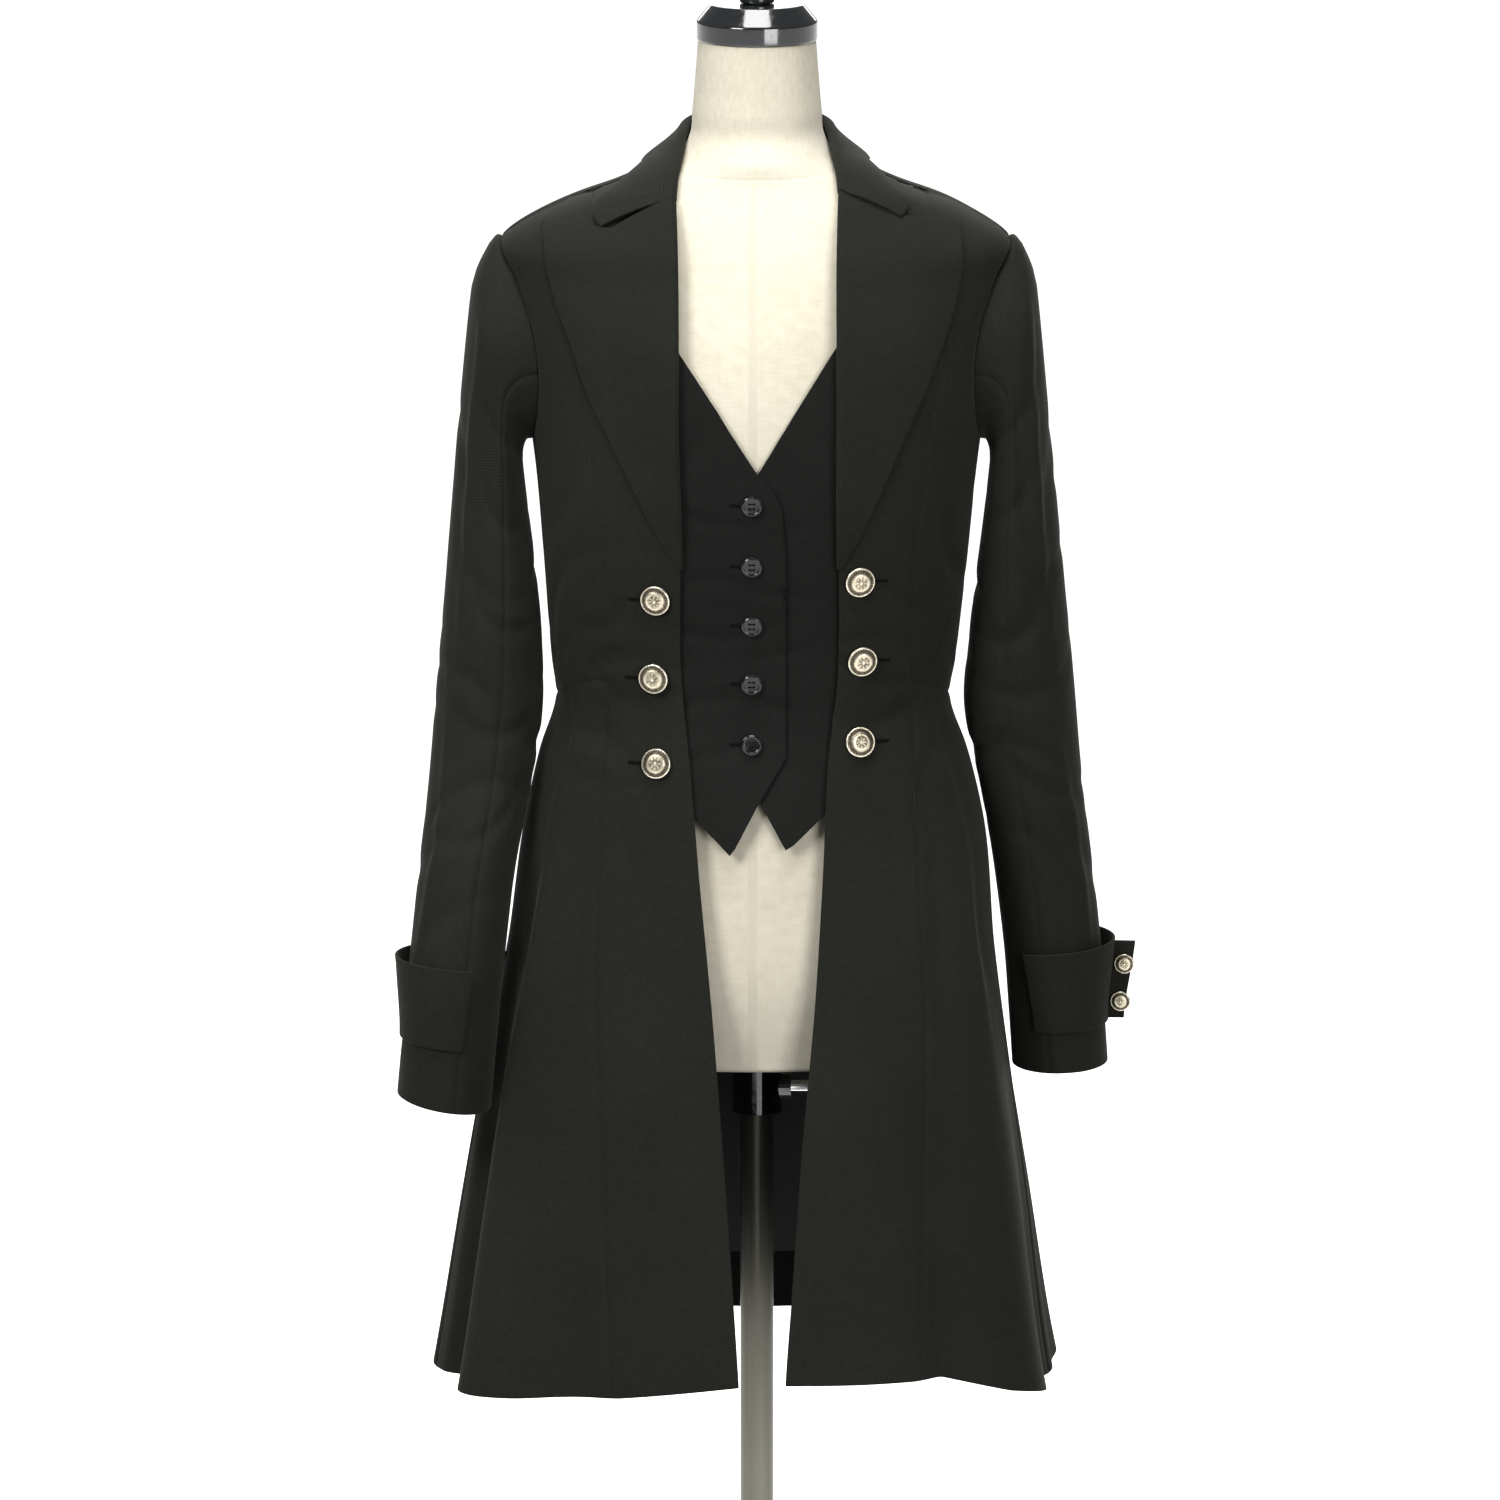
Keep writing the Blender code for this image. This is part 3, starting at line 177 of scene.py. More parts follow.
# The collar fall: its fold, the place on the coat under the fold, and its free edge on the coat.
COLLAR_SECTIONS = np.array([
    # fold: side, depth, height; under it: angle, height; free edge: angle, height
    (0.0640, -0.0645, 1.3552, 31.0, 1.3552, 40.0, 1.3347),
    (0.0637, -0.0602, 1.3600, 37.0, 1.3605, 58.5, 1.3517),
    (0.0630, -0.0510, 1.3685, 50.0, 1.3690, 74.0, 1.3620),
    (0.0603, -0.0320, 1.3805, 69.0, 1.3765, 93.0, 1.3685),
    (0.0578, -0.0040, 1.3930, 91.0, 1.3775, 115.0, 1.3660),
    (0.0520, 0.0265, 1.3990, 118.5, 1.3775, 138.0, 1.3620),
    (0.0310, 0.0528, 1.4025, 150.5, 1.3775, 160.0, 1.3590),
    (0.0000, 0.0638, 1.4040, 180.0, 1.3775, 180.0, 1.3575),
])
COLLAR_CLOTH = 0.0018
COLLAR_FOLD = 0.0024
COLLAR_BULGE = 0.0030
COLLAR_SKEW = 0.0033  # the collar sits this much lower at the left notch, and higher at the right
STAND_FROM = 1.7  # the stand begins at this section
ON_CLOTH = 0.0007  # gap under cloth that lies on cloth

# Sleeves: each section runs from its outer point to its inner point.
SLEEVE_LEFT = np.array([
    # outer side, outer height, inner side, inner height, depth of the centre, half depth
    (0.2060, 1.3040, 0.1745, 1.1640, 0.0000, 0.0560),
    (0.2115, 1.2790, 0.1740, 1.1470, 0.0010, 0.0570),
    (0.2165, 1.2350, 0.1710, 1.1180, 0.0020, 0.0565),
    (0.2215, 1.1800, 0.1670, 1.0850, 0.0020, 0.0550),
    (0.2265, 1.1220, 0.1630, 1.0510, 0.0000, 0.0540),
    (0.2320, 1.0560, 0.1600, 1.0130, -0.0030, 0.0530),
    (0.2385, 0.9800, 0.1597, 0.9620, -0.0120, 0.0520),
    (0.2450, 0.9050, 0.1690, 0.9030, -0.0290, 0.0510),
    (0.2515, 0.8480, 0.1800, 0.8460, -0.0460, 0.0500),
    (0.2590, 0.7780, 0.1885, 0.7740, -0.0600, 0.0490),
    (0.2635, 0.7280, 0.1935, 0.7230, -0.0640, 0.0485),
    (0.2680, 0.6820, 0.1980, 0.6700, -0.0660, 0.0480),
])
SLEEVE_RIGHT = np.array([
    (0.2040, 1.3040, 0.1735, 1.1640, 0.0000, 0.0560),
    (0.2075, 1.2790, 0.1730, 1.1470, 0.0010, 0.0570),
    (0.2120, 1.2350, 0.1700, 1.1180, 0.0020, 0.0565),
    (0.2170, 1.1800, 0.1660, 1.0850, 0.0020, 0.0550),
    (0.2225, 1.1220, 0.1620, 1.0510, 0.0040, 0.0540),
    (0.2290, 1.0560, 0.1580, 1.0130, 0.0060, 0.0530),
    (0.2366, 0.9800, 0.1545, 0.9620, 0.0100, 0.0520),
    (0.2430, 0.9050, 0.1660, 0.9030, 0.0180, 0.0510),
    (0.2500, 0.8480, 0.1760, 0.8460, 0.0260, 0.0500),
    (0.2580, 0.7780, 0.1850, 0.7760, 0.0350, 0.0490),
    (0.2610, 0.7280, 0.1890, 0.7260, 0.0370, 0.0485),
    (0.2640, 0.6840, 0.1920, 0.6820, 0.0380, 0.0480),
])
SLEEVE_SEAMS = 105.0, -120.0  # front seam and back seam, degrees from the outer point
CAP_BLEND = 2  # sections over which the armhole becomes a sleeve

# Turned-up cuff bands, which stand off the sleeve more at the top, each with a button tab.
BAND_TOP = {LEFT: 0.7840, RIGHT: 0.7780}
BAND_BOTTOM = {LEFT: 0.7230, RIGHT: 0.7150}
BAND_OFF_TOP, BAND_OFF_BOTTOM = 0.0105, 0.0026
BAND_FRONT = {LEFT: 106.0, RIGHT: 118.0}  # where the band begins, degrees from the outer point
BAND_TURN = {LEFT: 250.0, RIGHT: 236.0}
TAB_ANGLE = {LEFT: -96.0, RIGHT: 8.0}  # the button tab stands out of the band here
TAB_LENGTH_TOP, TAB_LENGTH_BOTTOM = 0.0150, 0.0110
TAB_WALL = 0.0024

# %% Waistcoat, buttons and dress form
# Waistcoat panels: heights of their upper and lower edges across the front.
VEST_LEFT = np.array([
    # side, upper edge, lower edge
    (-0.1000, 1.2860, 0.9380),
    (-0.0850, 1.2860, 0.9260),
    (-0.0605, 1.2500, 0.9070),
    (-0.0460, 1.2285, 0.8960),
    (-0.0290, 1.2030, 0.8790),
    (-0.0205, 1.1890, 0.8700),
    (-0.0165, 1.1830, 0.8750),
    (0.0000, 1.1575, 0.9060),
    (0.0130, 1.1430, 0.9275),
    (0.0185, 1.1300, 0.9365),
    (0.0216, 1.0900, 0.9420),
])
VEST_RIGHT = np.array([
    (-0.0140, 1.1300, 0.9270),
    (-0.0060, 1.1480, 0.9200),
    (0.0020, 1.1590, 0.9090),
    (0.0165, 1.1830, 0.8830),
    (0.0215, 1.1910, 0.8740),
    (0.0275, 1.2010, 0.8775),
    (0.0515, 1.2390, 0.9000),
    (0.0612, 1.2540, 0.9070),
    (0.0850, 1.2900, 0.9260),
    (0.1000, 1.2900, 0.9380),
])
VEST_DEPTH = {LEFT: 0.0040, RIGHT: 0.0064}  # outer face below the coat's, at the centre

# Buttons: radius, height of the edge, height of the dome.
METAL_BUTTON = 0.01125, 0.0022, 0.0048
CUFF_BUTTON = 0.0075, 0.0016, 0.0034
VEST_BUTTON = 0.0075, 0.0022, 0.0026
# Distance from the centre line, height, and room left under the button where the cloth is hollow.
METAL_PLACES = {LEFT: ((0.0746, 1.0610, 0.0), (0.0757, 1.0010, 0.0006), (0.0740, 0.9370, 0.0)),
                RIGHT: ((0.0754, 1.0750, 0.0), (0.0769, 1.0140, 0.0005), (0.0754, 0.9525, 0.0007))}
VEST_BUTTON_SIDE = -0.0040
VEST_BUTTONS = ((1.1335, 0.0), (1.0870, 0.0001), (1.0415, 0.0001), (0.9970, 0.0006),
                (0.9520, 0.0010))
CUFF_BUTTON_SHARES = 0.28, 0.76  # down the tab

# The dress form's torso and neck, in level rings.
FORM_RINGS = np.array([
    # height, half width, front, back
    (0.7025, 0.1480, 0.0960, 0.1020),
    (0.7600, 0.1580, 0.1050, 0.1090),
    (0.8400, 0.1560, 0.1030, 0.1060),
    (0.9000, 0.1430, 0.0960, 0.0930),
    (0.9850, 0.1180, 0.0830, 0.0740),
    (1.0600, 0.1320, 0.0950, 0.0790),
    (1.1500, 0.1480, 0.1130, 0.0880),
    (1.2000, 0.1500, 0.1120, 0.0930),
    (1.2500, 0.1510, 0.1030, 0.0940),
    (1.2900, 0.1510, 0.0900, 0.0910),
    (1.3100, 0.1500, 0.0830, 0.0870),
    (1.3350, 0.1460, 0.0730, 0.0800),
    (1.3490, 0.1300, 0.0670, 0.0740),
    (1.3575, 0.1040, 0.0635, 0.0680),
    (1.3665, 0.0780, 0.0605, 0.0630),
    (1.3760, 0.0605, 0.0590, 0.0590),
    (1.3840, 0.0540, 0.0545, 0.0545),
    (1.3920, 0.0500, 0.0500, 0.0500),
    (1.4125, 0.0478, 0.0478, 0.0478),
    (1.4627, 0.0437, 0.0437, 0.0437),
])
SHOULDER_DROP = 0.0031  # the form's shoulders lie this far under the coat's outer face
SHOULDER_FROM = 1.3300
CAP_PROFILE = ((0.0, 1.4630), (0.0440, 1.4630), (0.0448, 1.4640), (0.0448, 1.4766),
               (0.0440, 1.4780), (0.0345, 1.4896), (0.0335, 1.4900), (0.0, 1.4900))
KNOB_PROFILE = ((0.0, 1.4903), (0.0130, 1.4903), (0.0130, 1.5010), (0.0105, 1.5050),
                (0.0105, 1.5080), (0.0150, 1.5130), (0.0165, 1.5180), (0.0150, 1.5230),
                (0.0090, 1.5265), (0.0, 1.5275))
POLE_RADIUS, POLE_TOP = 0.0125, 0.9200

# %% [markdown]
# Every shape below is a function of two numbers, worked out for a whole grid at once. The first
# of them is a smooth curve through a table, with which the rings become a surface.

# %% The coat's surface
def smooth(heights, values, at):
    """Cubic curve through the table: each row's slope is the mean of its neighbours' chords."""
    at = np.clip(at, heights[0], heights[-1])
    slopes = np.gradient(values, heights)
    row = np.clip(np.searchsorted(heights, at, side="right") - 1, 0, len(heights) - 2)
    span = heights[row + 1] - heights[row]
    t = (at - heights[row]) / span
    start = values[row] * (1 + 2 * t) * (1 - t) ** 2 + slopes[row] * span * t * (1 - t) ** 2
    end = values[row + 1] * t * t * (3 - 2 * t) - slopes[row + 1] * span * t * t * (1 - t)
    return start + end


def column(table, at, index):
    return smooth(table[:, 0], table[:, index], at)


def unit(vectors):
    return vectors / np.linalg.norm(vectors, axis=-1, keepdims=True)


def level_out(points):
    """Level directions from the upright axis to the points."""
    return unit(points * (1.0, 1.0, 0.0))


def eased(share):
    """A share from 0 to 1 that starts and ends softly."""
    return share * share * (3 - 2 * share)


def fold_depth(angle, height):
    """Sum of the folds: each is a raised cosine across its angle, and grows down to the hem."""
    total = np.zeros(np.broadcast(angle, height).shape)
    for middle, half, depth, start in SKIRT_FOLDS:
        away = (angle - middle + 180) % 360 - 180
        across = np.where(np.abs(away) < half, 0.5 + 0.5 * np.cos(np.pi * away / half), 0.0)
        down = np.clip((start - height) / (start - FOLDS_FULL), 0.0, 1.1)
        total = total + depth * across * down ** 1.3
    return total


def coat(angle, height):
    """The coat's outer surface: an ellipse in each ring, squarer by a sine, plus the folds."""
    turn = np.radians(angle)
    half = np.where(np.sin(turn) < 0, column(COAT_RINGS, height, 1), column(COAT_RINGS, height, 2))
    deep = np.where(np.cos(turn) > 0, column(COAT_RINGS, height, 3), column(COAT_RINGS, height, 4))
    square = 1 + SQUARENESS * np.sin(2 * turn) ** 2
    folds = fold_depth(angle, height)
    x = (half * square + folds) * np.sin(turn)
    y = -(deep * square + folds) * np.cos(turn)
    return np.stack(np.broadcast_arrays(x, y, height), axis=-1)


def angle_of(side, across, height, front=True):
    """Angle at which the ring at this height is this far from the centre line, by halving."""
    half = column(COAT_RINGS, height, 1 if side == LEFT else 2)
    low = np.zeros(np.broadcast(across, height).shape)
    high = low + 90.0
    for _ in range(30):
        middle = (low + high) / 2
        turn = np.radians(middle)
        short = half * (1 + SQUARENESS * np.sin(2 * turn) ** 2) * np.sin(turn) < across
        low, high = np.where(short, middle, low), np.where(short, high, middle)
    return side * (low if front else 180.0 - low)


def signed_angle(across, height):
    left = angle_of(LEFT, np.maximum(-across, 0.0), height)
    right = angle_of(RIGHT, np.maximum(across, 0.0), height)
    return np.where(across < 0, left, right)


def normals_of(surface, first, second, step=(0.5, 0.0005)):
    """Outward normals: the cross product of two central differences of the surface."""
    along = surface(first + step[0], second) - surface(first - step[0], second)
    up = surface(first, second + step[1]) - surface(first, second - step[1])
    return unit(np.cross(along, up))


print("front of the chest:", coat(0.0, 1.15).round(4))
print("side of the hem:", coat(90.0, 0.455).round(4))

# %% [markdown]
# Worn cloth is never quite smooth. Tension pulls it into soft troughs and ridges, between the
# buttons and the side seams, across the small of the back and round the elbows. They could come
# from a cloth simulation, but on a fitted coat a few listed creases give better control.
# Each row of a table is one crease: where its middle is, how it runs, how long and wide it is,
# how far it bends, and how deep it is. A trough has a softer ridge beside it, as real cloth has.

# %% Creases
BODY_CREASES = np.array([
    # angle, height, run from level in degrees, half length, half width, bend, depth
    (-57.0, 0.800, 88.0, 0.170, 0.0095, 0.0, 0.0036),
    (-45.0, 0.790, 90.0, 0.150, 0.0120, 0.0, -0.0036),
    (60.0, 0.830, -87.0, 0.110, 0.0090, 0.0, 0.0032),
    (47.0, 0.810, -90.0, 0.130, 0.0110, 0.0, -0.0030),
    (-43.0, 1.038, 24.0, 0.034, 0.0065, 1.2, -0.0021),
    (-40.0, 1.016, 12.0, 0.050, 0.0060, -1.0, -0.0017),
    (-36.0, 0.982, -8.0, 0.046, 0.0070, 1.0, -0.0019),
    (-44.0, 0.952, -20.0, 0.048, 0.0080, -0.8, -0.0021),
    (-56.0, 0.930, -38.0, 0.046, 0.0085, 0.9, -0.0018),
    (-62.0, 1.075, 40.0, 0.055, 0.0085, -0.6, -0.0018),
    (-70.0, 1.010, 8.0, 0.038, 0.0070, 0.8, -0.0014),
    (41.0, 1.060, -38.0, 0.024, 0.0046, 0.0, -0.0024),
    (36.0, 1.030, -16.0, 0.044, 0.0065, -1.0, -0.0018),
    (43.0, 0.995, 6.0, 0.050, 0.0065, 1.0, -0.0018),
    (39.0, 0.966, 14.0, 0.046, 0.0080, 0.8, -0.0020),
    (54.0, 0.938, 34.0, 0.048, 0.0085, -0.9, -0.0018),
    (62.0, 1.082, -42.0, 0.052, 0.0085, 0.7, -0.0016),
    (72.0, 1.006, -10.0, 0.036, 0.0070, -0.8, -0.0014),
    (-50.0, 1.150, 62.0, 0.060, 0.0100, 0.5, -0.0016),
    (52.0, 1.160, -64.0, 0.056, 0.0100, -0.5, -0.0015),
    (-34.0, 0.890, 70.0, 0.060, 0.0090, 0.4, -0.0016),
    (33.0, 0.880, -72.0, 0.064, 0.0090, -0.4, -0.0016),
    (-60.0, 0.830, 78.0, 0.080, 0.0110, -0.3, -0.0020),
    (60.0, 0.835, -80.0, 0.078, 0.0110, 0.3, -0.0018),
    (-150.0, 1.010, -14.0, 0.060, 0.0080, 0.8, -0.0024),
    (148.0, 1.022, 16.0, 0.056, 0.0080, -0.8, -0.0022),
    (-128.0, 0.986, -30.0, 0.050, 0.0080, -0.9, -0.0022),
    (124.0, 0.990, 26.0, 0.052, 0.0085, 0.9, -0.0022),
    (-168.0, 1.060, 10.0, 0.046, 0.0085, 0.6, -0.0016),
    (160.0, 1.070, -24.0, 0.048, 0.0085, -0.6, -0.0015),
    (-118.0, 1.090, 48.0, 0.058, 0.0095, 0.5, -0.0018),
    (116.0, 1.096, -46.0, 0.054, 0.0095, -0.6, -0.0018),
    (-136.0, 1.190, 66.0, 0.062, 0.0105, 0.3, -0.0014),
    (138.0, 1.180, -70.0, 0.064, 0.0105, -0.4, -0.0014),
    (-150.0, 0.900, 74.0, 0.070, 0.0100, 0.5, -0.0018),
    (146.0, 0.896, -76.0, 0.072, 0.0100, -0.4, -0.0018),
])
BODY_RADIUS, ARM_RADIUS, VEST_RADIUS = 0.15, 0.043, 0.11  # turn the creases' degrees into metres
SLEEVE_SOFT = 0.75  # the sleeves' creases are this much softer than their tables
SLEEVE_CREASES = {LEFT: np.array([
    # degrees from the outer point, height, run, half length, half width, bend, depth
    (52.0, 1.130, 90.0, 0.150, 0.0060, 0.0, 0.0036),
    (47.0, 0.880, 88.0, 0.110, 0.0060, 0.2, 0.0028),
    (79.0, 1.150, 86.0, 0.100, 0.0105, 0.0, -0.0040),
    (80.0, 0.800, 92.0, 0.090, 0.0090, 0.0, -0.0020),
    (70.0, 1.190, -50.0, 0.050, 0.0085, 0.8, -0.0022),
    (40.0, 1.150, -62.0, 0.060, 0.0090, -0.6, -0.0020),
    (96.0, 1.110, -34.0, 0.040, 0.0080, 0.9, -0.0024),
    (60.0, 1.070, -48.0, 0.052, 0.0085, 0.7, -0.0022),
    (100.0, 1.030, -20.0, 0.040, 0.0070, 1.1, -0.0030),
    (74.0, 0.990, -30.0, 0.052, 0.0075, -0.9, -0.0028),
    (98.0, 0.952, -4.0, 0.044, 0.0065, 0.9, -0.0034),
    (80.0, 0.916, 16.0, 0.048, 0.0070, -0.9, -0.0026),
    (104.0, 0.880, 28.0, 0.040, 0.0070, 0.8, -0.0024),
    (40.0, 0.868, 44.0, 0.056, 0.0085, 0.5, -0.0020),
    (70.0, 0.822, 36.0, 0.046, 0.0085, -0.7, -0.0019),
    (-60.0, 1.120, 52.0, 0.060, 0.0090, 0.6, -0.0020),
    (-90.0, 1.020, 30.0, 0.050, 0.0080, -0.8, -0.0024),
    (-70.0, 0.960, -18.0, 0.048, 0.0080, 0.8, -0.0024),
    (-96.0, 0.900, -34.0, 0.050, 0.0085, -0.6, -0.0022),
    (170.0, 1.060, 24.0, 0.044, 0.0080, 0.5, -0.0024),
    (160.0, 0.940, -12.0, 0.040, 0.0075, 0.6, -0.0026),
])}
SLEEVE_CREASES[RIGHT] = np.array([
    (56.0, 1.150, 91.0, 0.120, 0.0065, 0.1, 0.0032),
    (42.0, 0.860, 87.0, 0.120, 0.0060, -0.2, 0.0026),
    (82.0, 1.160, 84.0, 0.090, 0.0100, 0.0, -0.0036),
    (76.0, 0.790, 93.0, 0.080, 0.0090, 0.0, -0.0018),
    (64.0, 1.196, -46.0, 0.054, 0.0085, 0.7, -0.0021),
    (30.0, 1.140, -66.0, 0.062, 0.0095, -0.5, -0.0018),
    (92.0, 1.120, -30.0, 0.042, 0.0080, 0.8, -0.0022),
    (58.0, 1.060, -44.0, 0.056, 0.0085, -0.6, -0.0022),
    (96.0, 1.020, -18.0, 0.044, 0.0070, 1.0, -0.0030),
    (78.0, 0.978, -8.0, 0.052, 0.0070, 0.8, -0.0030),
    (100.0, 0.940, 10.0, 0.042, 0.0065, -0.8, -0.0032),
    (72.0, 0.902, 22.0, 0.050, 0.0075, 0.8, -0.0025),
    (98.0, 0.866, 34.0, 0.042, 0.0075, -0.7, -0.0022),
    (34.0, 0.850, 52.0, 0.058, 0.0090, 0.4, -0.0018),
    (-56.0, 1.104, 50.0, 0.062, 0.0090, -0.6, -0.0020),
    (-84.0, 1.000, 26.0, 0.052, 0.0080, 0.7, -0.0024),
    (-64.0, 0.950, -22.0, 0.050, 0.0080, -0.8, -0.0022),
    (-92.0, 0.888, -30.0, 0.048, 0.0085, 0.6, -0.0020),
    (168.0, 1.050, 22.0, 0.044, 0.0080, -0.5, -0.0024),
    (158.0, 0.930, -10.0, 0.040, 0.0075, 0.6, -0.0024),
])


def creased(table, turn, height, radius):
    """Sum of the creases. Each is measured in its own directions: along it the depth dies away as
    a bell, and across it is a bell for the trough less a wider, lower bell for the ridges."""
    total = np.zeros(np.broadcast(turn, height).shape)
    for middle, level, run, half_length, half_width, bend, depth in table:
        across = np.radians((turn - middle + 180.0) % 360.0 - 180.0) * radius
        rise = height - level
        tilt = np.radians(run)
        along = across * np.cos(tilt) + rise * np.sin(tilt)
        aside = rise * np.cos(tilt) - across * np.sin(tilt) - bend * along ** 2 / half_length * 0.5
        reach = np.exp(-(along / half_length) ** 2)
        total += depth * reach * (1.35 * np.exp(-(aside / half_width) ** 2)
                                  - 0.35 * np.exp(-(aside / (2.4 * half_width)) ** 2))
    return total


def worn_coat(angle, height):
    """The coat's surface with its creases, as distances out along the ring's own direction."""
    plain = coat(angle, height)
    depth = creased(BODY_CREASES, angle, height, BODY_RADIUS)
    return plain + level_out(plain) * depth[..., None]


print("creases on the body:", len(BODY_CREASES), "and on the sleeves:",
      [len(SLEEVE_CREASES[side]) for side in SIDES])

# %% [markdown]
# A piece of cloth is a grid of points with a thickness. Its outer and inner faces are joined by a
# rim. Where it meets another piece the edge dips into the seam, and a free edge is rounded and
# pressed thin. For that the grid needs more lines near its borders. Each piece keeps its own flat
# measures in metres as its UV map, so that the weave follows the cloth.

# %% Cloth from a grid
NEAR_EDGE = np.array([0.0, 0.0004, 0.0010, 0.0018, 0.0030, 0.0048])  # lines by a border
SEAM_DIP, SEAM_WIDTH = 0.0011, 0.0024  # how deep and how wide the outer face dips into a seam
RIM_ROUND, THINNEST = 0.92, 0.0001  # how round a free rim is, and the least wall at an edge


def spaced(length, step, start=True, end=True):
    """Shares of the way along a length: even steps, and closer lines near the borders."""
    near = NEAR_EDGE / length
    low, high = (near[-1] if start else 0.0), (near[-1] if end else 0.0)
    inner = np.linspace(low, 1.0 - high, max(3, int(length / step)))
    first = near[:-1] if start else np.array([])
    last = 1.0 - near[:-1][::-1] if end else np.array([])
    return np.concatenate([first, inner, last])


def put_mesh(name, points, faces, finishes, uv=None, face_finish=None):
    """A mesh from arrays of points and of faces, with its place in the mesh itself."""
    mesh = bpy.data.meshes.new(name)
    mesh.from_pydata(points.reshape(-1, 3).tolist(), [], faces)
    for finish in finishes:
        mesh.materials.append(finish)
    if face_finish is not None:
        mesh.polygons.foreach_set("material_index", np.asarray(face_finish, np.int32))
    if uv is not None:
        layer = mesh.uv_layers.new(name="cloth")
        corners = np.zeros(len(mesh.loops), np.int32)
        mesh.loops.foreach_get("vertex_index", corners)
        layer.data.foreach_set("uv", uv[corners].astype(np.float32).ravel())
    mesh.shade_smooth()
    mesh.update()
    made = bpy.data.objects.new(name, mesh)
    bpy.context.scene.collection.objects.link(made)
    return made


def grid_quads(rows, columns, closed=False, looped=False):
    """Corner numbers of a grid's quads. A closed grid joins its sides, a looped one its ends."""
    index = np.arange(rows * columns).reshape(rows, columns)
    if looped:
        index = np.concatenate([index, index[:1]])
    if closed:
        index = np.concatenate([index, index[:, :1]], axis=1)
    return np.stack([index[:-1, :-1], index[:-1, 1:], index[1:, 1:], index[1:, :-1]],
                    axis=-1).reshape(-1, 4)


def border_distance(points):
    """Distances along the cloth to its four borders: first row, last row, first and last column."""
    found = []
    for axis in (0, 1):
        steps = np.linalg.norm(np.diff(points, axis=axis), axis=-1)
        pad = np.zeros_like(np.take(steps, [0], axis=axis))
        along = np.concatenate([pad, np.cumsum(steps, axis=axis)], axis=axis)
        found += [along, np.take(along, [-1], axis=axis) - along]
    return found


def grid_normals(points):
    """Normals of a grid from the differences between neighbouring points."""
    across = np.gradient(points, axis=1)
    along = np.gradient(points, axis=0)
    normals = np.cross(across, along)
    return normals / np.maximum(np.linalg.norm(normals, axis=-1, keepdims=True), 1e-12)


def cloth_piece(name, points, outward, finishes, edges, thickness=CLOTH):
    """Cloth with a wall: edges names each border seam, free or plain. A seam's border dips as a
    bell. A free border is a quarter circle on both faces, so that its rim is round."""
    normals = grid_normals(points)
    flip = bool(np.mean(np.sum(normals * outward, axis=-1)) < 0)
    if flip:
        normals = -normals
    outer_lift = np.zeros(points.shape[:2])
    inner_lift = np.full(points.shape[:2], -thickness)
    radius = thickness / 2
    distances = border_distance(points)
    for kind, distance in zip(edges, distances):
        if kind == "seam":
            outer_lift -= SEAM_DIP * np.exp(-(distance / SEAM_WIDTH) ** 2)
        if kind == "free":
            inside = np.clip(distance / radius, 0.0, 1.0)
            drop = radius * (1.0 - np.sqrt(1.0 - (1.0 - inside) ** 2))
            drop = np.minimum(drop, radius * RIM_ROUND)
            outer_lift -= drop
            inner_lift += drop
    outer_lift = np.maximum(outer_lift, inner_lift + THINNEST)
    outer = points + normals * outer_lift[..., None]
    inner = points + normals * inner_lift[..., None]
    rows, columns = points.shape[:2]
    quads = grid_quads(rows, columns)
    shift = rows * columns
    front, back = quads, quads[:, ::-1] + shift
    if flip:
        front, back = quads[:, ::-1], quads + shift
    index = np.arange(rows * columns).reshape(rows, columns)
    border = np.concatenate([index[0, :], index[1:, -1], index[-1, -2::-1], index[-2:0:-1, 0]])
    after = np.roll(border, -1)
    rim = np.stack([after, border, border + shift, after + shift], axis=-1)
    if flip:
        rim = rim[:, ::-1]
    faces = np.concatenate([front, back, rim]).tolist()
    finish_of = np.zeros(len(faces), np.int32)
    if len(finishes) > 1:
        finish_of[len(front):len(front) + len(back)] = 1
    flat = np.stack([distances[2].ravel(), distances[0].ravel()], axis=-1)
    made = put_mesh(name, np.concatenate([outer.reshape(-1, 3), inner.reshape(-1, 3)]), faces,
                    finishes, np.concatenate([flat, flat]), finish_of)
    made["cloth_area"] = float(cloth_area(points))
    return made


def cloth_area(points):
    """Area of a grid: half the length of the cross product of each quad's diagonals."""
    first = points[1:, 1:] - points[:-1, :-1]
    second = points[1:, :-1] - points[:-1, 1:]
    return np.linalg.norm(np.cross(first, second), axis=-1).sum() / 2


def stands_for(piece, cad_node, body="form"):
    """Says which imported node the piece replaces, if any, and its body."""
    if cad_node:
        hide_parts(cad_node)
    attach(piece, body)
    return piece


def declared(piece, cad_node):
    """Says that the piece stands for its node and moves with the form."""
    return stands_for(piece, cad_node)


def facing_out(made):
    """Turns the faces of a closed mesh outwards."""
    fix = bmesh.new()
    fix.from_mesh(made.data)
    bmesh.ops.recalc_face_normals(fix, faces=fix.faces)
    fix.to_mesh(made.data)
    fix.free()
    return made


print("lines near an edge, in millimetres:", (NEAR_EDGE * 1000).round(1))

# %% [markdown]
# Suiting is a fine twill: thin diagonal lines, too small to see from afar, which give the black
# its depth and a warm grey sheen where light grazes the cloth. A diagonal wave on the UV map in
# metres makes the lines, a fine noise makes the hairs, and a large faint noise makes the cloth's
# slight unevenness. The coat is lined: its inside is a smoother satin, and along the hem the
# suiting is turned up, so the inside finish changes at a height above the floor.

# %% Finishes
TURN_UP = 0.508  # height up to which the hem's suiting is turned up


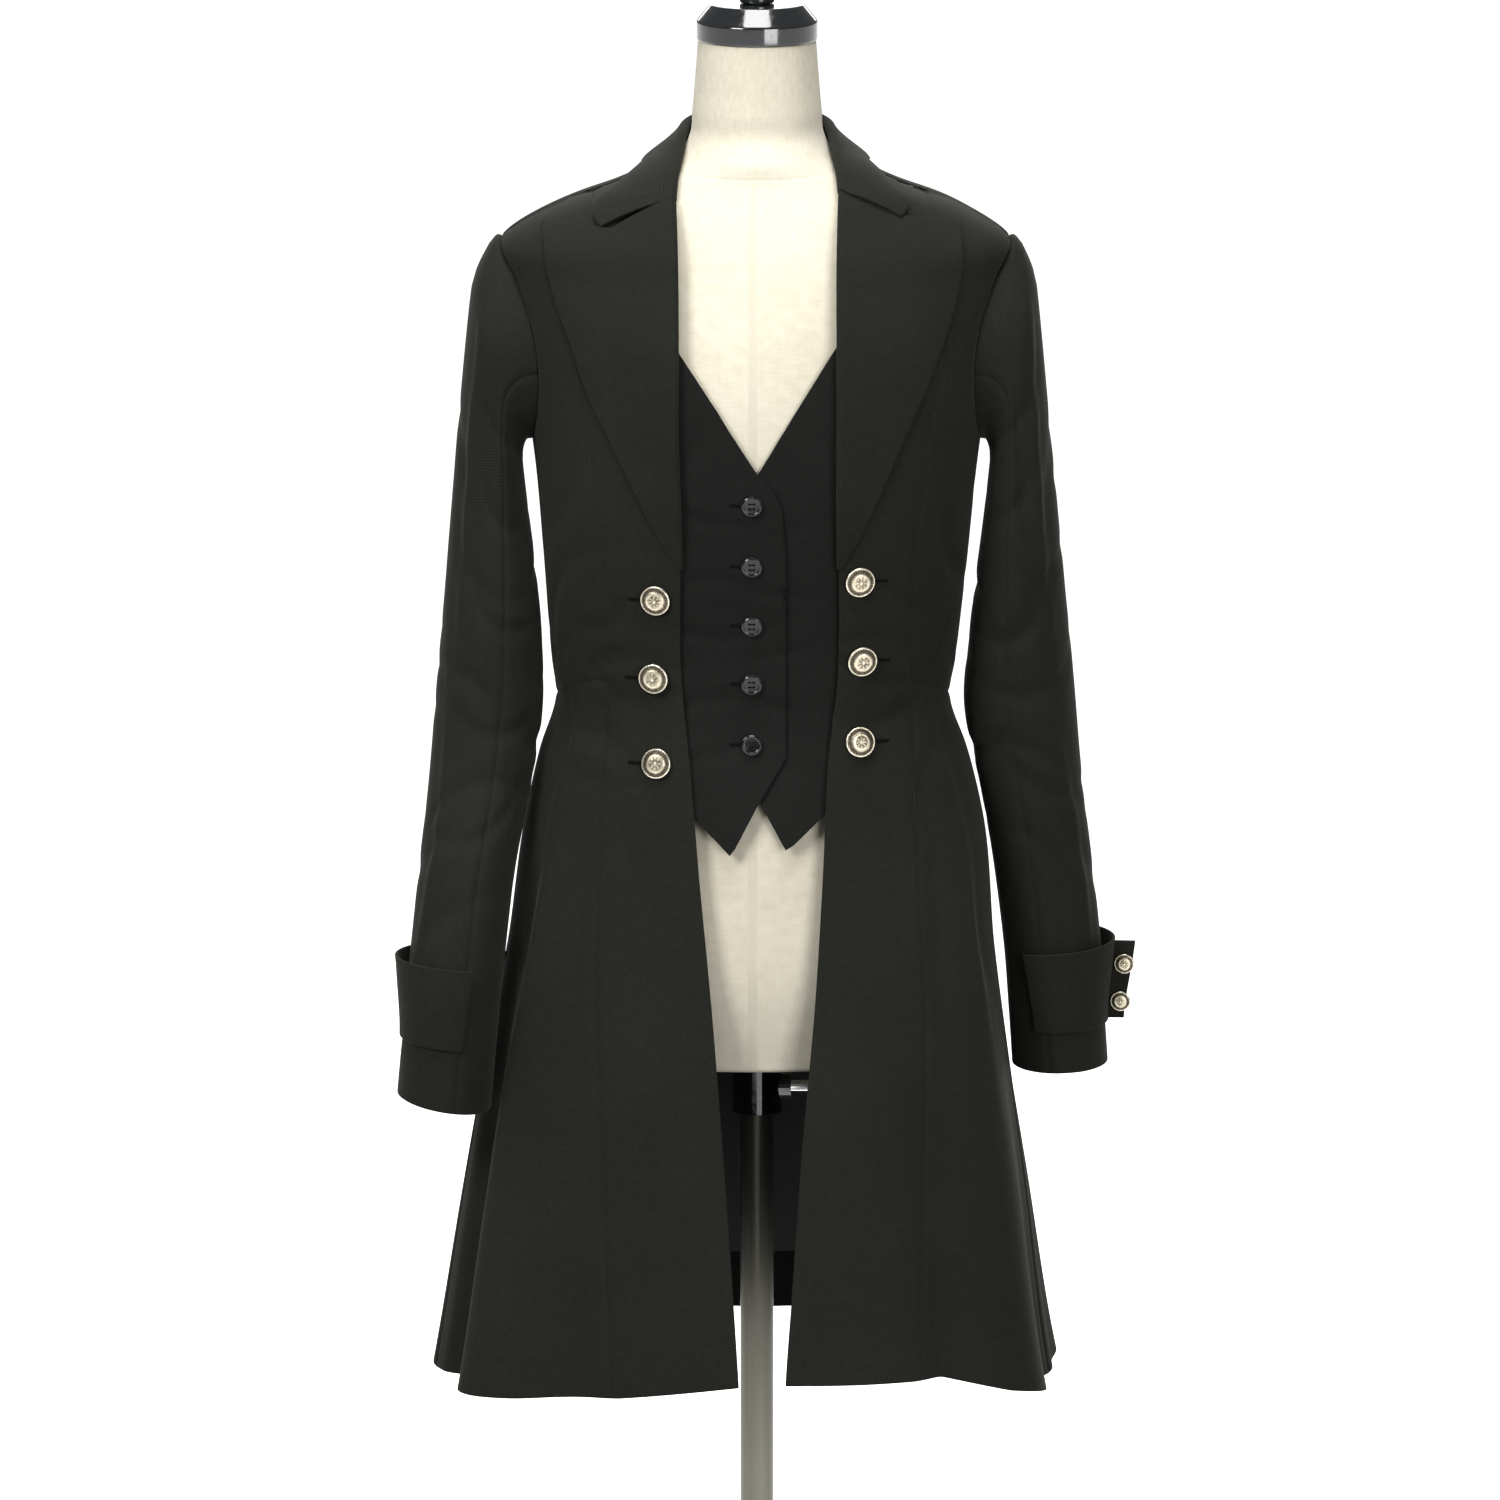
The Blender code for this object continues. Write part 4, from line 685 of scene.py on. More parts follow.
def new_finish(name, colour, roughness, metallic=0.0):
    """A material with its plain values on the shader's own sockets."""
    made = bpy.data.materials.new(name)
    made.use_nodes = True
    shader = made.node_tree.nodes["Principled BSDF"]
    feed(made.node_tree, shader, {"Base Color": (*colour, 1.0), "Roughness": roughness,
                                  "Metallic": metallic})
    return made, made.node_tree, shader


def feed(tree, target, inputs):
    """Gives each input of a node its value, or links another node's output to it."""
    for name, value in inputs.items():
        socket = target.inputs[name]
        if hasattr(value, "is_output"):
            tree.links.new(value, socket)
        else:
            socket.default_value = value


def node(tree, kind, inputs=None, output=0, **settings):
    """One output of a new node with these settings and inputs."""
    made = tree.nodes.new(kind)
    for name, value in settings.items():
        setattr(made, name, value)
    feed(tree, made, inputs or {})
    return made.outputs[output]


def place_in(tree):
    """Place in the object's own metres."""
    return node(tree, "ShaderNodeTexCoord", output="Object")


def level_in(tree):
    """Height above the floor."""
    return node(tree, "ShaderNodeSeparateXYZ", {"Vector": place_in(tree)}, "Z")


def cloth_in(tree):
    """Flat place on the cloth, in metres."""
    return node(tree, "ShaderNodeUVMap", output="UV", uv_map="cloth")


def noise(tree, place, scale, detail=2.0, roughness=0.5):
    return node(tree, "ShaderNodeTexNoise", {"Vector": place, "Scale": scale, "Detail": detail,
                                             "Roughness": roughness}, "Fac")


def maths(tree, operation, first, second):
    return node(tree, "ShaderNodeMath", {0: first, 1: second}, operation=operation)


def ranged(tree, value, low, high, start=0.0, end=1.0):
    """The value, which runs from start to end, brought to the range from low to high."""
    return node(tree, "ShaderNodeMapRange", {"Value": value, "From Min": start, "From Max": end,
                                             "To Min": low, "To Max": high})


def blended(tree, share, first, second):
    return node(tree, "ShaderNodeMix", {"Factor": share, 6: (*first, 1.0), 7: (*second, 1.0)}, 2,
                data_type="RGBA")


def darkened(tree, colour, share):
    return node(tree, "ShaderNodeVectorMath", {0: colour, "Scale": share}, operation="SCALE")


def bumped(tree, height, strength, distance):
    return node(tree, "ShaderNodeBump", {"Height": height, "Strength": strength,
                                         "Distance": distance})


def ramp(tree, factor, stops):
    """A colour ramp whose stops are places with colours."""
    made = tree.nodes.new("ShaderNodeValToRGB")
    feed(tree, made, {"Fac": factor})
    while len(made.color_ramp.elements) < len(stops):
        made.color_ramp.elements.new(0.5)
    for element, (place, colour) in zip(made.color_ramp.elements, stops):
        element.position = place
        element.color = (*colour, 1.0)
    return made.outputs["Color"]


def cloth_finish(name, dark, light, pitch, relief, sheen, roughness):
    """Woven cloth: threads at a pitch in metres, hairs, and a faint unevenness of colour."""
    made, tree, shader = new_finish(name, dark, roughness)
    cloth = cloth_in(tree)
    waves = node(tree, "ShaderNodeTexWave", {"Vector": cloth, "Scale": 1.0 / pitch / 3.2,
                                             "Distortion": 0.6, "Detail": 1.0},
                 "Fac", bands_direction="DIAGONAL")
    threads = maths(tree, "MULTIPLY", waves, noise(tree, cloth, 0.55 / pitch, 3.0))
    slubs = noise(tree, cloth, 190.0, 5.0, 0.7)
    shade = maths(tree, "MULTIPLY",
                  ranged(tree, noise(tree, place_in(tree), 7.0, 4.0), 0.80, 1.18, 0.25, 0.75),
                  ranged(tree, slubs, 0.86, 1.14, 0.3, 0.7))
    feed(tree, shader, {
        "Base Color": darkened(tree, blended(tree, threads, dark, light), shade),
        "Normal": bumped(tree, maths(tree, "ADD", threads, slubs), 0.35, relief),
        "Sheen Weight": sheen, "Sheen Roughness": 0.45, "Sheen Tint": (0.95, 0.95, 0.82, 1.0),
        "Specular IOR Level": 0.05})
    return made


suiting = cloth_finish("black_suiting", (0.0092, 0.0094, 0.0076), (0.0235, 0.0238, 0.0192),
                       0.0007, 0.0003, 0.045, 0.80)
waistcoating = cloth_finish("black_waistcoating", (0.0074, 0.0074, 0.0070),
                            (0.0185, 0.0185, 0.0174), 0.0006, 0.00022, 0.030, 0.84)


def lining_finish():
    """Satin lining with soft creases of shine, and turned-up suiting along the hem."""
    made, tree, shader = new_finish("black_lining", (0.004, 0.004, 0.0042), 0.46)
    turned_up = maths(tree, "LESS_THAN", level_in(tree), TURN_UP)
    feed(tree, shader, {
        "Base Color": blended(tree, turned_up, (0.0042, 0.0042, 0.0043), (0.0025, 0.0025, 0.0024)),
        "Roughness": ranged(tree, turned_up, 0.40, 0.85),
        "Normal": bumped(tree, noise(tree, place_in(tree), 34.0, 3.0), 0.3, 0.0012),
        "Specular IOR Level": 0.07})
    return made


lining = lining_finish()
print("cloth finishes:", [m.name for m in (suiting, waistcoating, lining)])

# %% [markdown]
# The coat's body is cut like the real one. Each front runs from the shoulder to the hem in one
# piece. The side and the back are cut at the waist into a fitted bodice and a flared skirt. The
# seams are lines on the coat's surface, so each panel is the surface between two of them. A
# panel's rows follow the waist seam and the hem, whose heights change round the body.

# %% Panels of the coat's body
def hem_height(angle):
    return np.interp(angle, HEM[:, 0], HEM[:, 1])


def waist_height(angle):
    return np.interp(np.abs(angle), (48.0, 90.0, 180.0), (WAIST_FRONT, WAIST_SIDE, WAIST_BACK))


def half_width(side, height):
    return column(COAT_RINGS, height, 1 if side == LEFT else 2)


def front_seam(side, height, index):
    """Distance of the front edge, index 1, or the princess seam, index 3, from the centre line."""
    return column(FRONT_SEAMS, height, index if side == LEFT else index + 1)


def shoulder_height(side, across):
    """Height of the shoulder seam at this distance from the centre line."""
    heights = np.linspace(SHOULDER_POINT, NECKLINE, 400)
    return np.interp(-np.asarray(across), -half_width(side, heights), heights)


def body_rows(places, low, high, shares):
    """Rows between two edges whose heights depend on the angle, each settled in a few rounds."""
    angles, heights = [], []
    for share in shares:
        height = np.full(1, 0.47 + share * 0.53)
        for _ in range(4):
            angle = places(height)
            height = low(angle) + share * (high(angle) - low(angle))
        angles.append(angle)
        heights.append(height)
    return angles, heights


def armhole_side(side, share, degrees, height):
    """Distance of the armhole's edge from the centre line, at this share of its height."""
    reach = degrees * np.sqrt(np.clip(1 - (2 * share - 1) ** 2, 0.0, 1.0))
    edge = np.radians(90 - reach)
    return half_width(side, height) * (1 + SQUARENESS * np.sin(2 * edge) ** 2) * np.sin(edge)


def upper_shares(count):
    """Shares of the way from the underarm to the shoulder, even round the armhole's curve."""
    return 0.5 - 0.5 * np.cos(np.linspace(0.0, np.pi, count + 1)[1:])


def body_cloth(name, angles, heights, edges):
    """One panel as cloth: its grid of angles and heights on the worn coat's surface."""
    angles, heights = np.array(angles), np.array(heights)
    points = worn_coat(angles, heights)
    outward = points * (1.0, 1.0, 0.0)
    piece = cloth_piece(name + "_cloth", points, outward, [suiting, lining], edges)
    return declared(piece, name)


def coat_front(side):
    """From the hem to the shoulder, between the front edge and the princess seam."""
    across = spaced(0.06, 0.0038)

    def places(height):
        edge, seam = front_seam(side, height, 1), front_seam(side, height, 3)
        return angle_of(side, edge + across * (seam - edge), height)

    angles, heights = body_rows(places, hem_height, waist_height, spaced(0.52, 0.005, end=False))
    bodice = body_rows(places, waist_height, lambda a: UNDERARM + 0 * a, np.linspace(0, 1, 44)[1:])
    angles, heights = angles + bodice[0], heights + bodice[1]
    top = shoulder_height(side, SHOULDER_NECK + across * (PRINCESS_TOP - SHOULDER_NECK))
    for share in upper_shares(56):
        heights.append(UNDERARM + share * (top - UNDERARM))
        angles.append(places(heights[-1]))
    angles[-1] = side * 90.0 + 0 * across
    return body_cloth(f"front_{SIDES[side]}", angles, heights, ("free", "seam", "free", "seam"))


def side_bodice(side):
    """From the waist to the shoulder, between the princess seam, the side seam and the armhole."""
    across = np.sin(np.radians(90.0 * spaced(0.13, 0.0036)))

    def places(height, outer=None):
        seam = front_seam(side, height, 3)
        outer = half_width(side, height) if outer is None else outer
        return angle_of(side, seam + across * (outer - seam), height)

    angles, heights = body_rows(places, waist_height, lambda a: UNDERARM + 0 * a,
                                spaced(0.18, 0.0045, end=False))
    top = shoulder_height(side, PRINCESS_TOP + across * (half_width(side, SHOULDER_POINT)
                                                         - PRINCESS_TOP))
    for share in upper_shares(48):
        heights.append(UNDERARM + share * (top - UNDERARM))
        outer = armhole_side(side, share, ARMHOLE_FRONT, heights[-1][-1])
        angles.append(places(heights[-1], outer))
    angles[-1] = side * 90.0 + 0 * across
    return body_cloth(f"side_bodice_{SIDES[side]}", angles, heights, ("seam",) * 4)


def back_bodice(side):
    """From the waist to the neckline and shoulder, between the side seam and the centre back."""
    across = np.cos(np.radians(90.0 * spaced(0.24, 0.0042)))

    def places(height, outer=None):
        outer = half_width(side, height) if outer is None else outer
        return angle_of(side, across * outer, height, front=False)

    angles, heights = body_rows(places, waist_height, lambda a: UNDERARM + 0 * a,
                                spaced(0.19, 0.0045, end=False))
    top = np.minimum(shoulder_height(side, across * half_width(side, SHOULDER_POINT)), NECKLINE)
    for share in upper_shares(52):
        heights.append(UNDERARM + share * (top - UNDERARM))
        outer = armhole_side(side, share, ARMHOLE_BACK, heights[-1][0])
        angles.append(places(heights[-1], outer))
    angles[-1] = np.where(top < NECKLINE, side * 90.0, angles[-1])
    return body_cloth(f"back_bodice_{SIDES[side]}", angles, heights, ("seam",) * 4)


def side_skirt(side):
    """From the hem to the waist seam, between the princess seam and the side seam."""
    across = spaced(0.25, 0.0048)

    def places(height):
        start = angle_of(side, front_seam(side, height, 3), height)
        return start + across * (side * 90.0 - start)

    angles, heights = body_rows(places, hem_height, waist_height, spaced(0.52, 0.0052))
    return body_cloth(f"side_skirt_{SIDES[side]}", angles, heights, ("free", "seam", "seam", "seam"))


def back_skirt(side):
    """From the hem to the waist seam, between the side seam and the centre back seam."""
    across = side * (90.0 + 90.0 * spaced(0.30, 0.0050))
    angles, heights = body_rows(lambda h: across, hem_height, waist_height, spaced(0.52, 0.0052))
    return body_cloth(f"back_skirt_{SIDES[side]}", angles, heights, ("free", "seam", "seam", "seam"))


for side in SIDES:
    made = [build(side) for build in (coat_front, side_bodice, back_bodice, side_skirt, back_skirt)]
    print(SIDES[side], {piece.name: round(piece["cloth_area"], 4) for piece in made})

# %% [markdown]
# A tailored sleeve is cut in two pieces, an upper and an under sleeve, so that it bends forward at
# the elbow. Its head is a little longer than the armhole, which gives the small roll along the
# shoulder. Here it is a run of oval sections down the arm. The first section is the armhole's own
# edge, and the surface passes smoothly from that edge to the ovals.

# %% Sleeves
SLEEVE_TABLES = {LEFT: SLEEVE_LEFT, RIGHT: SLEEVE_RIGHT}
HEAD_ROLL = 0.0026  # how far the sleeve's head stands out by the shoulder
HEAD_LENGTH, ROLL_PLACE = 0.044, 0.007  # cloth from the armhole to the first oval, and to the roll


def armhole_ring(side, turn):
    """The armhole's edge at angles from its outer top point round the front."""
    share = 0.5 + 0.5 * np.cos(turn)
    reach = np.where(np.sin(turn) > 0, ARMHOLE_FRONT, ARMHOLE_BACK)
    height = ARMHOLE_HEIGHT + (2 * share - 1) * ARMHOLE_HALF
    return coat(side * (90.0 - reach * np.sin(turn)), height)


def sleeve_surface(side):
    """Oval sections down the arm, each a cosine and a sine between its outer and inner points."""
    table = SLEEVE_TABLES[side]
    sections = np.arange(len(table)) + 1.0

    def surface(degrees, place):
        turn = np.radians(side * degrees)
        values = [smooth(sections, table[:, i], np.maximum(place, 1.0)) for i in range(6)]
        outer_x, outer_z, inner_x, inner_z, middle_y, half_y = values
        x = (outer_x + inner_x) / 2 + (outer_x - inner_x) / 2 * np.cos(turn)
        z = (outer_z + inner_z) / 2 + (outer_z - inner_z) / 2 * np.cos(turn)
        y = middle_y - half_y * np.sin(turn)
        oval = np.stack(np.broadcast_arrays(side * x, y, z), axis=-1)
        share = eased(np.clip(place / CAP_BLEND, 0.0, 1.0) + 0 * turn)[..., None]
        return armhole_ring(side, turn + 0 * place) * (1 - share) + oval * share
    return surface


def sleeve_place(side, height):
    """Section at which the sleeve's middle is at this height."""
    table = SLEEVE_TABLES[side]
    middle = (table[:, 1] + table[:, 3]) / 2
    return np.interp(-np.asarray(height), -middle, np.arange(len(table)) + 1.0)


def on_sleeve(side, degrees, place, lift=0.0, creases=True):
    """Points of the sleeve moved out by a lift, by its creases and by the roll of its head."""
    surface = sleeve_surface(side)
    around, along = degrees * side, place + 0.0 * degrees
    normals = normals_of(surface, around, np.maximum(along, 0.01), (0.5, 0.01))
    points = surface(around, along)
    total = lift + 0.0 * along
    if creases:
        share = np.clip(along / CAP_BLEND, 0.0, 1.0)
        total = total + SLEEVE_SOFT * share ** 2 * creased(SLEEVE_CREASES[side], degrees,
                                                           points[..., 2], ARM_RADIUS)
        upper = np.clip(np.cos(np.radians(degrees)) + 0.15, 0.0, 1.0)
        reach = eased(share) * HEAD_LENGTH / ROLL_PLACE
        total = total + HEAD_ROLL * upper * reach * np.exp(1.0 - reach)
    return points + normals * total[..., None]


TUCK_ROWS = ((0.0042, 0.985), (0.0030, 0.992), (0.0016, 0.997))  # depth, and size of the ring


def tucked(side, degrees, points):
    """The sleeve's rows with its seam allowance before them, turned into the body."""
    turn = np.radians(degrees)
    around = armhole_ring(side, turn)
    middle = armhole_ring(side, np.radians(np.arange(0.0, 360.0, 10.0))).mean(axis=0)
    reach = np.where(np.sin(turn) > 0, ARMHOLE_FRONT, ARMHOLE_BACK)
    angle = side * (90.0 - reach * np.sin(turn))
    inward = -normals_of(coat, angle, around[:, 2])
    rows = [middle + (around - middle) * size + inward * depth for depth, size in TUCK_ROWS]
    return np.concatenate([np.stack(rows), points])


def sleeve_pieces(side):
    """Upper sleeve between the two seams over the outer side, and the under sleeve below."""
    length = len(SLEEVE_TABLES[side])
    head = spaced(HEAD_LENGTH, 0.0034, end=False)
    head = CAP_BLEND * (0.5 - np.sin(np.arcsin(1.0 - 2.0 * head) / 3.0))
    place = np.concatenate([head, CAP_BLEND + (length - CAP_BLEND)
                            * spaced(0.56, 0.0042, start=False)[1:]])
    front, back = SLEEVE_SEAMS
    made = []
    for part, start, end, wide in (("upper", back, front, 0.21), ("under", front, back + 360, 0.14)):
        degrees = start + (end - start) * spaced(wide, 0.0036)
        angle, along = np.meshgrid(degrees, place)
        points = tucked(side, degrees, on_sleeve(side, angle, along))
        middle = tucked(side, degrees, (on_sleeve(side, angle, along, 0.0, False)
                                        + on_sleeve(side, angle + 180.0, along, 0.0, False)) / 2)
        piece = cloth_piece(f"sleeve_{part}_{SIDES[side]}_cloth", points, points - middle,
                            [suiting, lining], ("plain", "free", "seam", "seam"))
        made.append(declared(piece,
                             f"sleeve_{part}_{SIDES[side]}"))
    return made


for side in SIDES:
    print(SIDES[side], {piece.name: round(piece["cloth_area"], 4) for piece in sleeve_pieces(side)})

# %% [markdown]
# Each cuff has a turned-up band, a separate strip that stands off the sleeve at its upper edge and
# is sewn to it at the lower one. Its end is pinched out into a flat tab with two small buttons.
# The band is the sleeve's own surface moved out, by more at the top.

# %% Cuff bands and tabs
BAND_WAVE = 0.0011  # the upper edge of a real band is never quite even


def band_lift(share, degrees=0.0):
    """How far the band's outer face is from the sleeve: more at the top, share 0, and uneven."""
    even = BAND_OFF_BOTTOM + (BAND_OFF_TOP - BAND_OFF_BOTTOM) * (1 - share) ** 1.3
    return even + BAND_WAVE * np.sin(np.radians(3.1 * degrees + 40.0)) * (1 - share) ** 2


def cuff_band(side):
    down = spaced(0.064, 0.0030)
    degrees = BAND_FRONT[side] - BAND_TURN[side] * spaced(0.21, 0.0034)
    angle, share = np.meshgrid(degrees, down)
    place = sleeve_place(side, BAND_TOP[side] + share * (BAND_BOTTOM[side] - BAND_TOP[side]))
    points = on_sleeve(side, angle, place, band_lift(share, angle), False)
    inside = on_sleeve(side, angle, place, -0.01, False)
    piece = cloth_piece(f"cuff_band_{SIDES[side]}_cloth", points, points - inside, [suiting],
                        ("free",) * 4)
    return declared(piece,
                    f"cuff_band_{SIDES[side]}")


def tab_frame(side, share):
    """A point of the band under the tab, with the tab's outward and sideways directions."""
    middle = (BAND_TOP[side] + BAND_BOTTOM[side]) / 2
    angle = np.full(1, TAB_ANGLE[side])
    place = sleeve_place(side, np.full(1, middle))
    out = (on_sleeve(side, angle, place, 0.01, False) - on_sleeve(side, angle, place, 0.0, False))[0]
    out = out * (1.0, 1.0, 0.0) / np.linalg.norm(out[:2])
    height = BAND_TOP[side] + share * (BAND_BOTTOM[side] - BAND_TOP[side])
    foot = on_sleeve(side, angle, sleeve_place(side, np.full(1, height)),
                     band_lift(share) + ON_CLOTH, False)[0]
    return foot, out, np.cross((0.0, 0.0, side * 1.0), out)


def cuff_tab(side):
    """A flat pinch of cloth: rows down the band, and columns out from it, slightly bowed."""
    down, out_share = spaced(0.064, 0.003), spaced(0.016, 0.0016, start=False)
    rows = []
    for share in 0.03 + 0.94 * down:
        foot, out, sideways = tab_frame(side, share)
        length = TAB_LENGTH_TOP + share * (TAB_LENGTH_BOTTOM - TAB_LENGTH_TOP)
        bow = 0.0010 * np.sin(np.pi * share)
        reach = (out_share * (length + 0.001) - 0.001)[:, None]
        rows.append(foot + out * reach + sideways * (TAB_WALL / 2 + bow * out_share[:, None]))
    points = np.array(rows)
    piece = cloth_piece(f"cuff_tab_{SIDES[side]}_cloth", points, tab_frame(side, 0.5)[2],
                        [suiting], ("free", "free", "plain", "free"), TAB_WALL)
    return declared(piece,
                    f"cuff_tab_{SIDES[side]}")


for side in SIDES:
    print(SIDES[side], cuff_band(side).name, cuff_tab(side).name)

# %% [markdown]
# A lapel is the front folded back on itself along the roll line. It is not pressed flat: the fold
# is a soft roll, higher at the chest, and dies away at the break above the first button. Its outer
# edge runs up to a peak, and its upper edge meets the collar at the gorge seam and then leaves it
# in a notch. The grid starts inside the coat, turns round the roll and lies over the front.

# %% Lapels
ROLL_INSIDE = 0.0022  # the roll ends this deep under the coat's outer face


def lapel(side):
    across, rise = spaced(0.09, 0.0026, start=False), spaced(0.30, 0.0030)
    turns = np.linspace(150.0, 0.0, 12)[:-1]
    share, up = np.meshgrid(np.concatenate([np.zeros(len(turns)), across]), rise)
    turn = np.radians(np.concatenate([turns, np.zeros(len(across))]))
    fold_height = BREAK + up * (GORGE[side] - BREAK)
    edge_height = BREAK + up * (LAPEL_EDGE[-1, 0] - BREAK)
    dip = np.minimum((share / NOTCH_PLACE) ** 1.6, (1 - share) / (1 - NOTCH_PLACE))
    height = fold_height + share * (edge_height - fold_height) - NOTCH_DROP[side] * dip * up ** 6
    fold = front_seam(side, fold_height, 1)
    edge = column(LAPEL_EDGE, edge_height, 1 if side == LEFT else 2)
    angle = angle_of(side, fold + share * (edge - fold), height)
    opening = 0.35 + 0.65 * np.clip(up * 5.0, 0.0, 1.0)
    lift = (ON_CLOTH + CLOTH + LAPEL_ROLL * (1 - share) ** 3) * opening + PEAK_LIFT * share * up ** 2
    wave = 0.0007 * np.sin(9.0 * up + 2.0 * share) * np.sin(np.pi * share)
    normals = normals_of(worn_coat, angle, height)
    points = worn_coat(angle, height) + normals * (lift + wave)[..., None]
    nudge = angle_of(side, fold + 0.002, fold_height) - angle_of(side, fold, fold_height)
    inward = unit(worn_coat(angle, height) - worn_coat(angle + nudge, height))
    radius = (lift + ROLL_INSIDE) / 2
    points = (points - normals * (radius * (1 - np.cos(turn)))[..., None]
              + inward * (radius * 0.9 * np.sin(turn))[..., None])
    piece = cloth_piece(f"lapel_{SIDES[side]}_cloth", points, normals, [suiting],
                        ("free", "free", "plain", "free"))
    return declared(piece, f"lapel_{SIDES[side]}")


for side in SIDES:
    print(lapel(side).name)

# %% [markdown]
# The collar is a fall, which lies on the coat, and a stand, which rises inside it round the neck.
# Between the two the cloth turns over in a tight fold. The fall is the coat's surface moved out,
# which leaves it smoothly for the fold, so the collar lies on the shoulders as on a real coat.

# %% Collar
FACE, CLIMB = (0.8, 0.6), (-0.6, 0.8)  # the fold's directions: outwards and up
FOLD_DEGREES = 400.0  # turn of the fold for each unit past its top
STAND_PINCH, STAND_RISE = 0.966, 0.0014  # the stand's foot, inside and above the neckline
STAND_TOP_PINCH, STAND_TOP_DROP = 0.985, 0.0056


def collar_values(place):
    """Values of the collar's sections at places from the left notch to the right one."""
    last = len(COLLAR_SECTIONS) - 1.0
    side = np.where(place < 0, LEFT, RIGHT)
    at = last - np.abs(place)
    rows = np.arange(last + 1)
    values = [smooth(rows, COLLAR_SECTIONS[:, i], at) for i in range(7)]
    skew = COLLAR_SKEW * side * (place / last) ** 2
    fold = np.stack([side * values[0], values[1], values[2] + skew], axis=-1)
    return fold, side * values[3], values[4] + skew, side * values[5], values[6] + skew


def collar_surface(place, up):
    """Up 0 is the free edge, 1 the fold, and past 1 the cloth turns over towards the neck."""
    fold, seam_angle, seam_height, edge_angle, edge_height = collar_values(place)
    share = np.clip(up, 0.0, 1.0)
    angle = edge_angle + share * (seam_angle - edge_angle)
    height = edge_height + share * (seam_height - edge_height)
    lift = ON_CLOTH + COLLAR_CLOTH + COLLAR_BULGE * np.sin(np.pi * share)
    resting = coat(angle, height) + normals_of(coat, angle, height) * lift[..., None]
    rise = (share ** 2.2)[..., None]
    fall = resting * (1 - rise) + fold * rise
    out = level_out(fold)
    face = FACE[0] * out + np.array((0.0, 0.0, FACE[1]))
    climb = CLIMB[0] * out + np.array((0.0, 0.0, CLIMB[1]))
    turn = np.radians(np.clip(up - 1.0, 0.0, None) * FOLD_DEGREES)[..., None]
    return fall + COLLAR_FOLD * (face * (np.cos(turn) - 1) + climb * np.sin(turn))


def collar_fall():
    last = len(COLLAR_SECTIONS) - 1.0
    ups = np.concatenate([spaced(0.05, 0.0024, end=False), np.linspace(1.0, 1.36, 14)[1:]])
    place, up = np.meshgrid(last * (2 * spaced(0.42, 0.0034) - 1), ups)
    points = collar_surface(place, up)
    piece = cloth_piece("collar_fall_cloth", points, normals_of(collar_surface, place, up, (0.05, 0.01)),
                        [suiting], ("free", "plain", "free", "free"), COLLAR_CLOTH)
    return declared(piece, "collar_fall")


def collar_stand():
    reach = len(COLLAR_SECTIONS) - 1.0 - STAND_FROM
    place, up = np.meshgrid(reach * (2 * spaced(0.30, 0.0040) - 1), np.linspace(0.0, 1.0, 12))
    fold, angle, height, _, _ = collar_values(place)
    foot = coat(angle, height) * (STAND_PINCH, STAND_PINCH, 1.0) + (0.0, 0.0, STAND_RISE)
    top = fold * (STAND_TOP_PINCH, STAND_TOP_PINCH, 1.0) - (0.0, 0.0, STAND_TOP_DROP)
    points = foot + (top - foot) * up[..., None]
    piece = cloth_piece("collar_stand_cloth", points, points * (1.0, 1.0, 0.0), [suiting],
                        ("plain", "plain", "free", "free"))
    return declared(piece, "collar_stand")


print(collar_fall().name, collar_stand().name)

# %% [markdown]
# The waistcoat front is sewn into the coat at both sides and buttons down the middle. Its left
# panel laps over the right one, and each panel ends in a point. Between the buttons the cloth is
# drawn into short level creases. Each panel is a run of columns between an upper and a lower edge.

# %% Waistcoat front
VEST_SEWN, VEST_FREE = 0.1, 0.045  # sewn in at this distance from the centre, free this far from it
VEST_CREASES = np.array([
    # angle, height, run, half length, half width, bend, depth
    (-12.0, 1.120, -14.0, 0.026, 0.0050, 0.6, -0.0013),
    (8.0, 1.112, 16.0, 0.016, 0.0045, 0.0, -0.0010),
    (-14.0, 1.076, 8.0, 0.028, 0.0052, -0.8, -0.0014),
    (9.0, 1.064, -10.0, 0.018, 0.0050, 0.0, -0.0011),
    (-12.0, 1.032, -6.0, 0.030, 0.0050, 0.8, -0.0015),
    (8.0, 1.020, 12.0, 0.018, 0.0048, 0.0, -0.0011),
    (-13.0, 0.986, 10.0, 0.030, 0.0052, -0.8, -0.0015),
    (9.0, 0.978, -12.0, 0.018, 0.0050, 0.0, -0.0012),
    (-11.0, 0.944, 24.0, 0.026, 0.0060, 0.5, -0.0013),
    (13.0, 0.930, -30.0, 0.024, 0.0060, 0.0, -0.0012),
    (-18.0, 1.170, 56.0, 0.034, 0.0070, 0.4, -0.0012),
    (17.0, 1.180, -58.0, 0.034, 0.0070, -0.4, -0.0012),
])


def vest_lift(side, across):
    """The panel hangs free at the centre and meets the coat's inside where it is sewn in."""
    sewn = CLOTH + SEAT + ON_CLOTH
    free = np.clip((VEST_SEWN - np.abs(across)) / VEST_FREE, 0.0, 1.0)
    return -(sewn + (VEST_DEPTH[side] - sewn) * eased(free))


def vest_points(side, across, height, lift=0.0):
    """Points of a panel, with its creases, moved out by a lift."""
    angle = signed_angle(across, height)
    normals = normals_of(coat, angle, height)
    total = vest_lift(side, across) + creased(VEST_CREASES, angle, height, VEST_RADIUS) + lift
    return coat(angle, height) + normals * total[..., None], normals


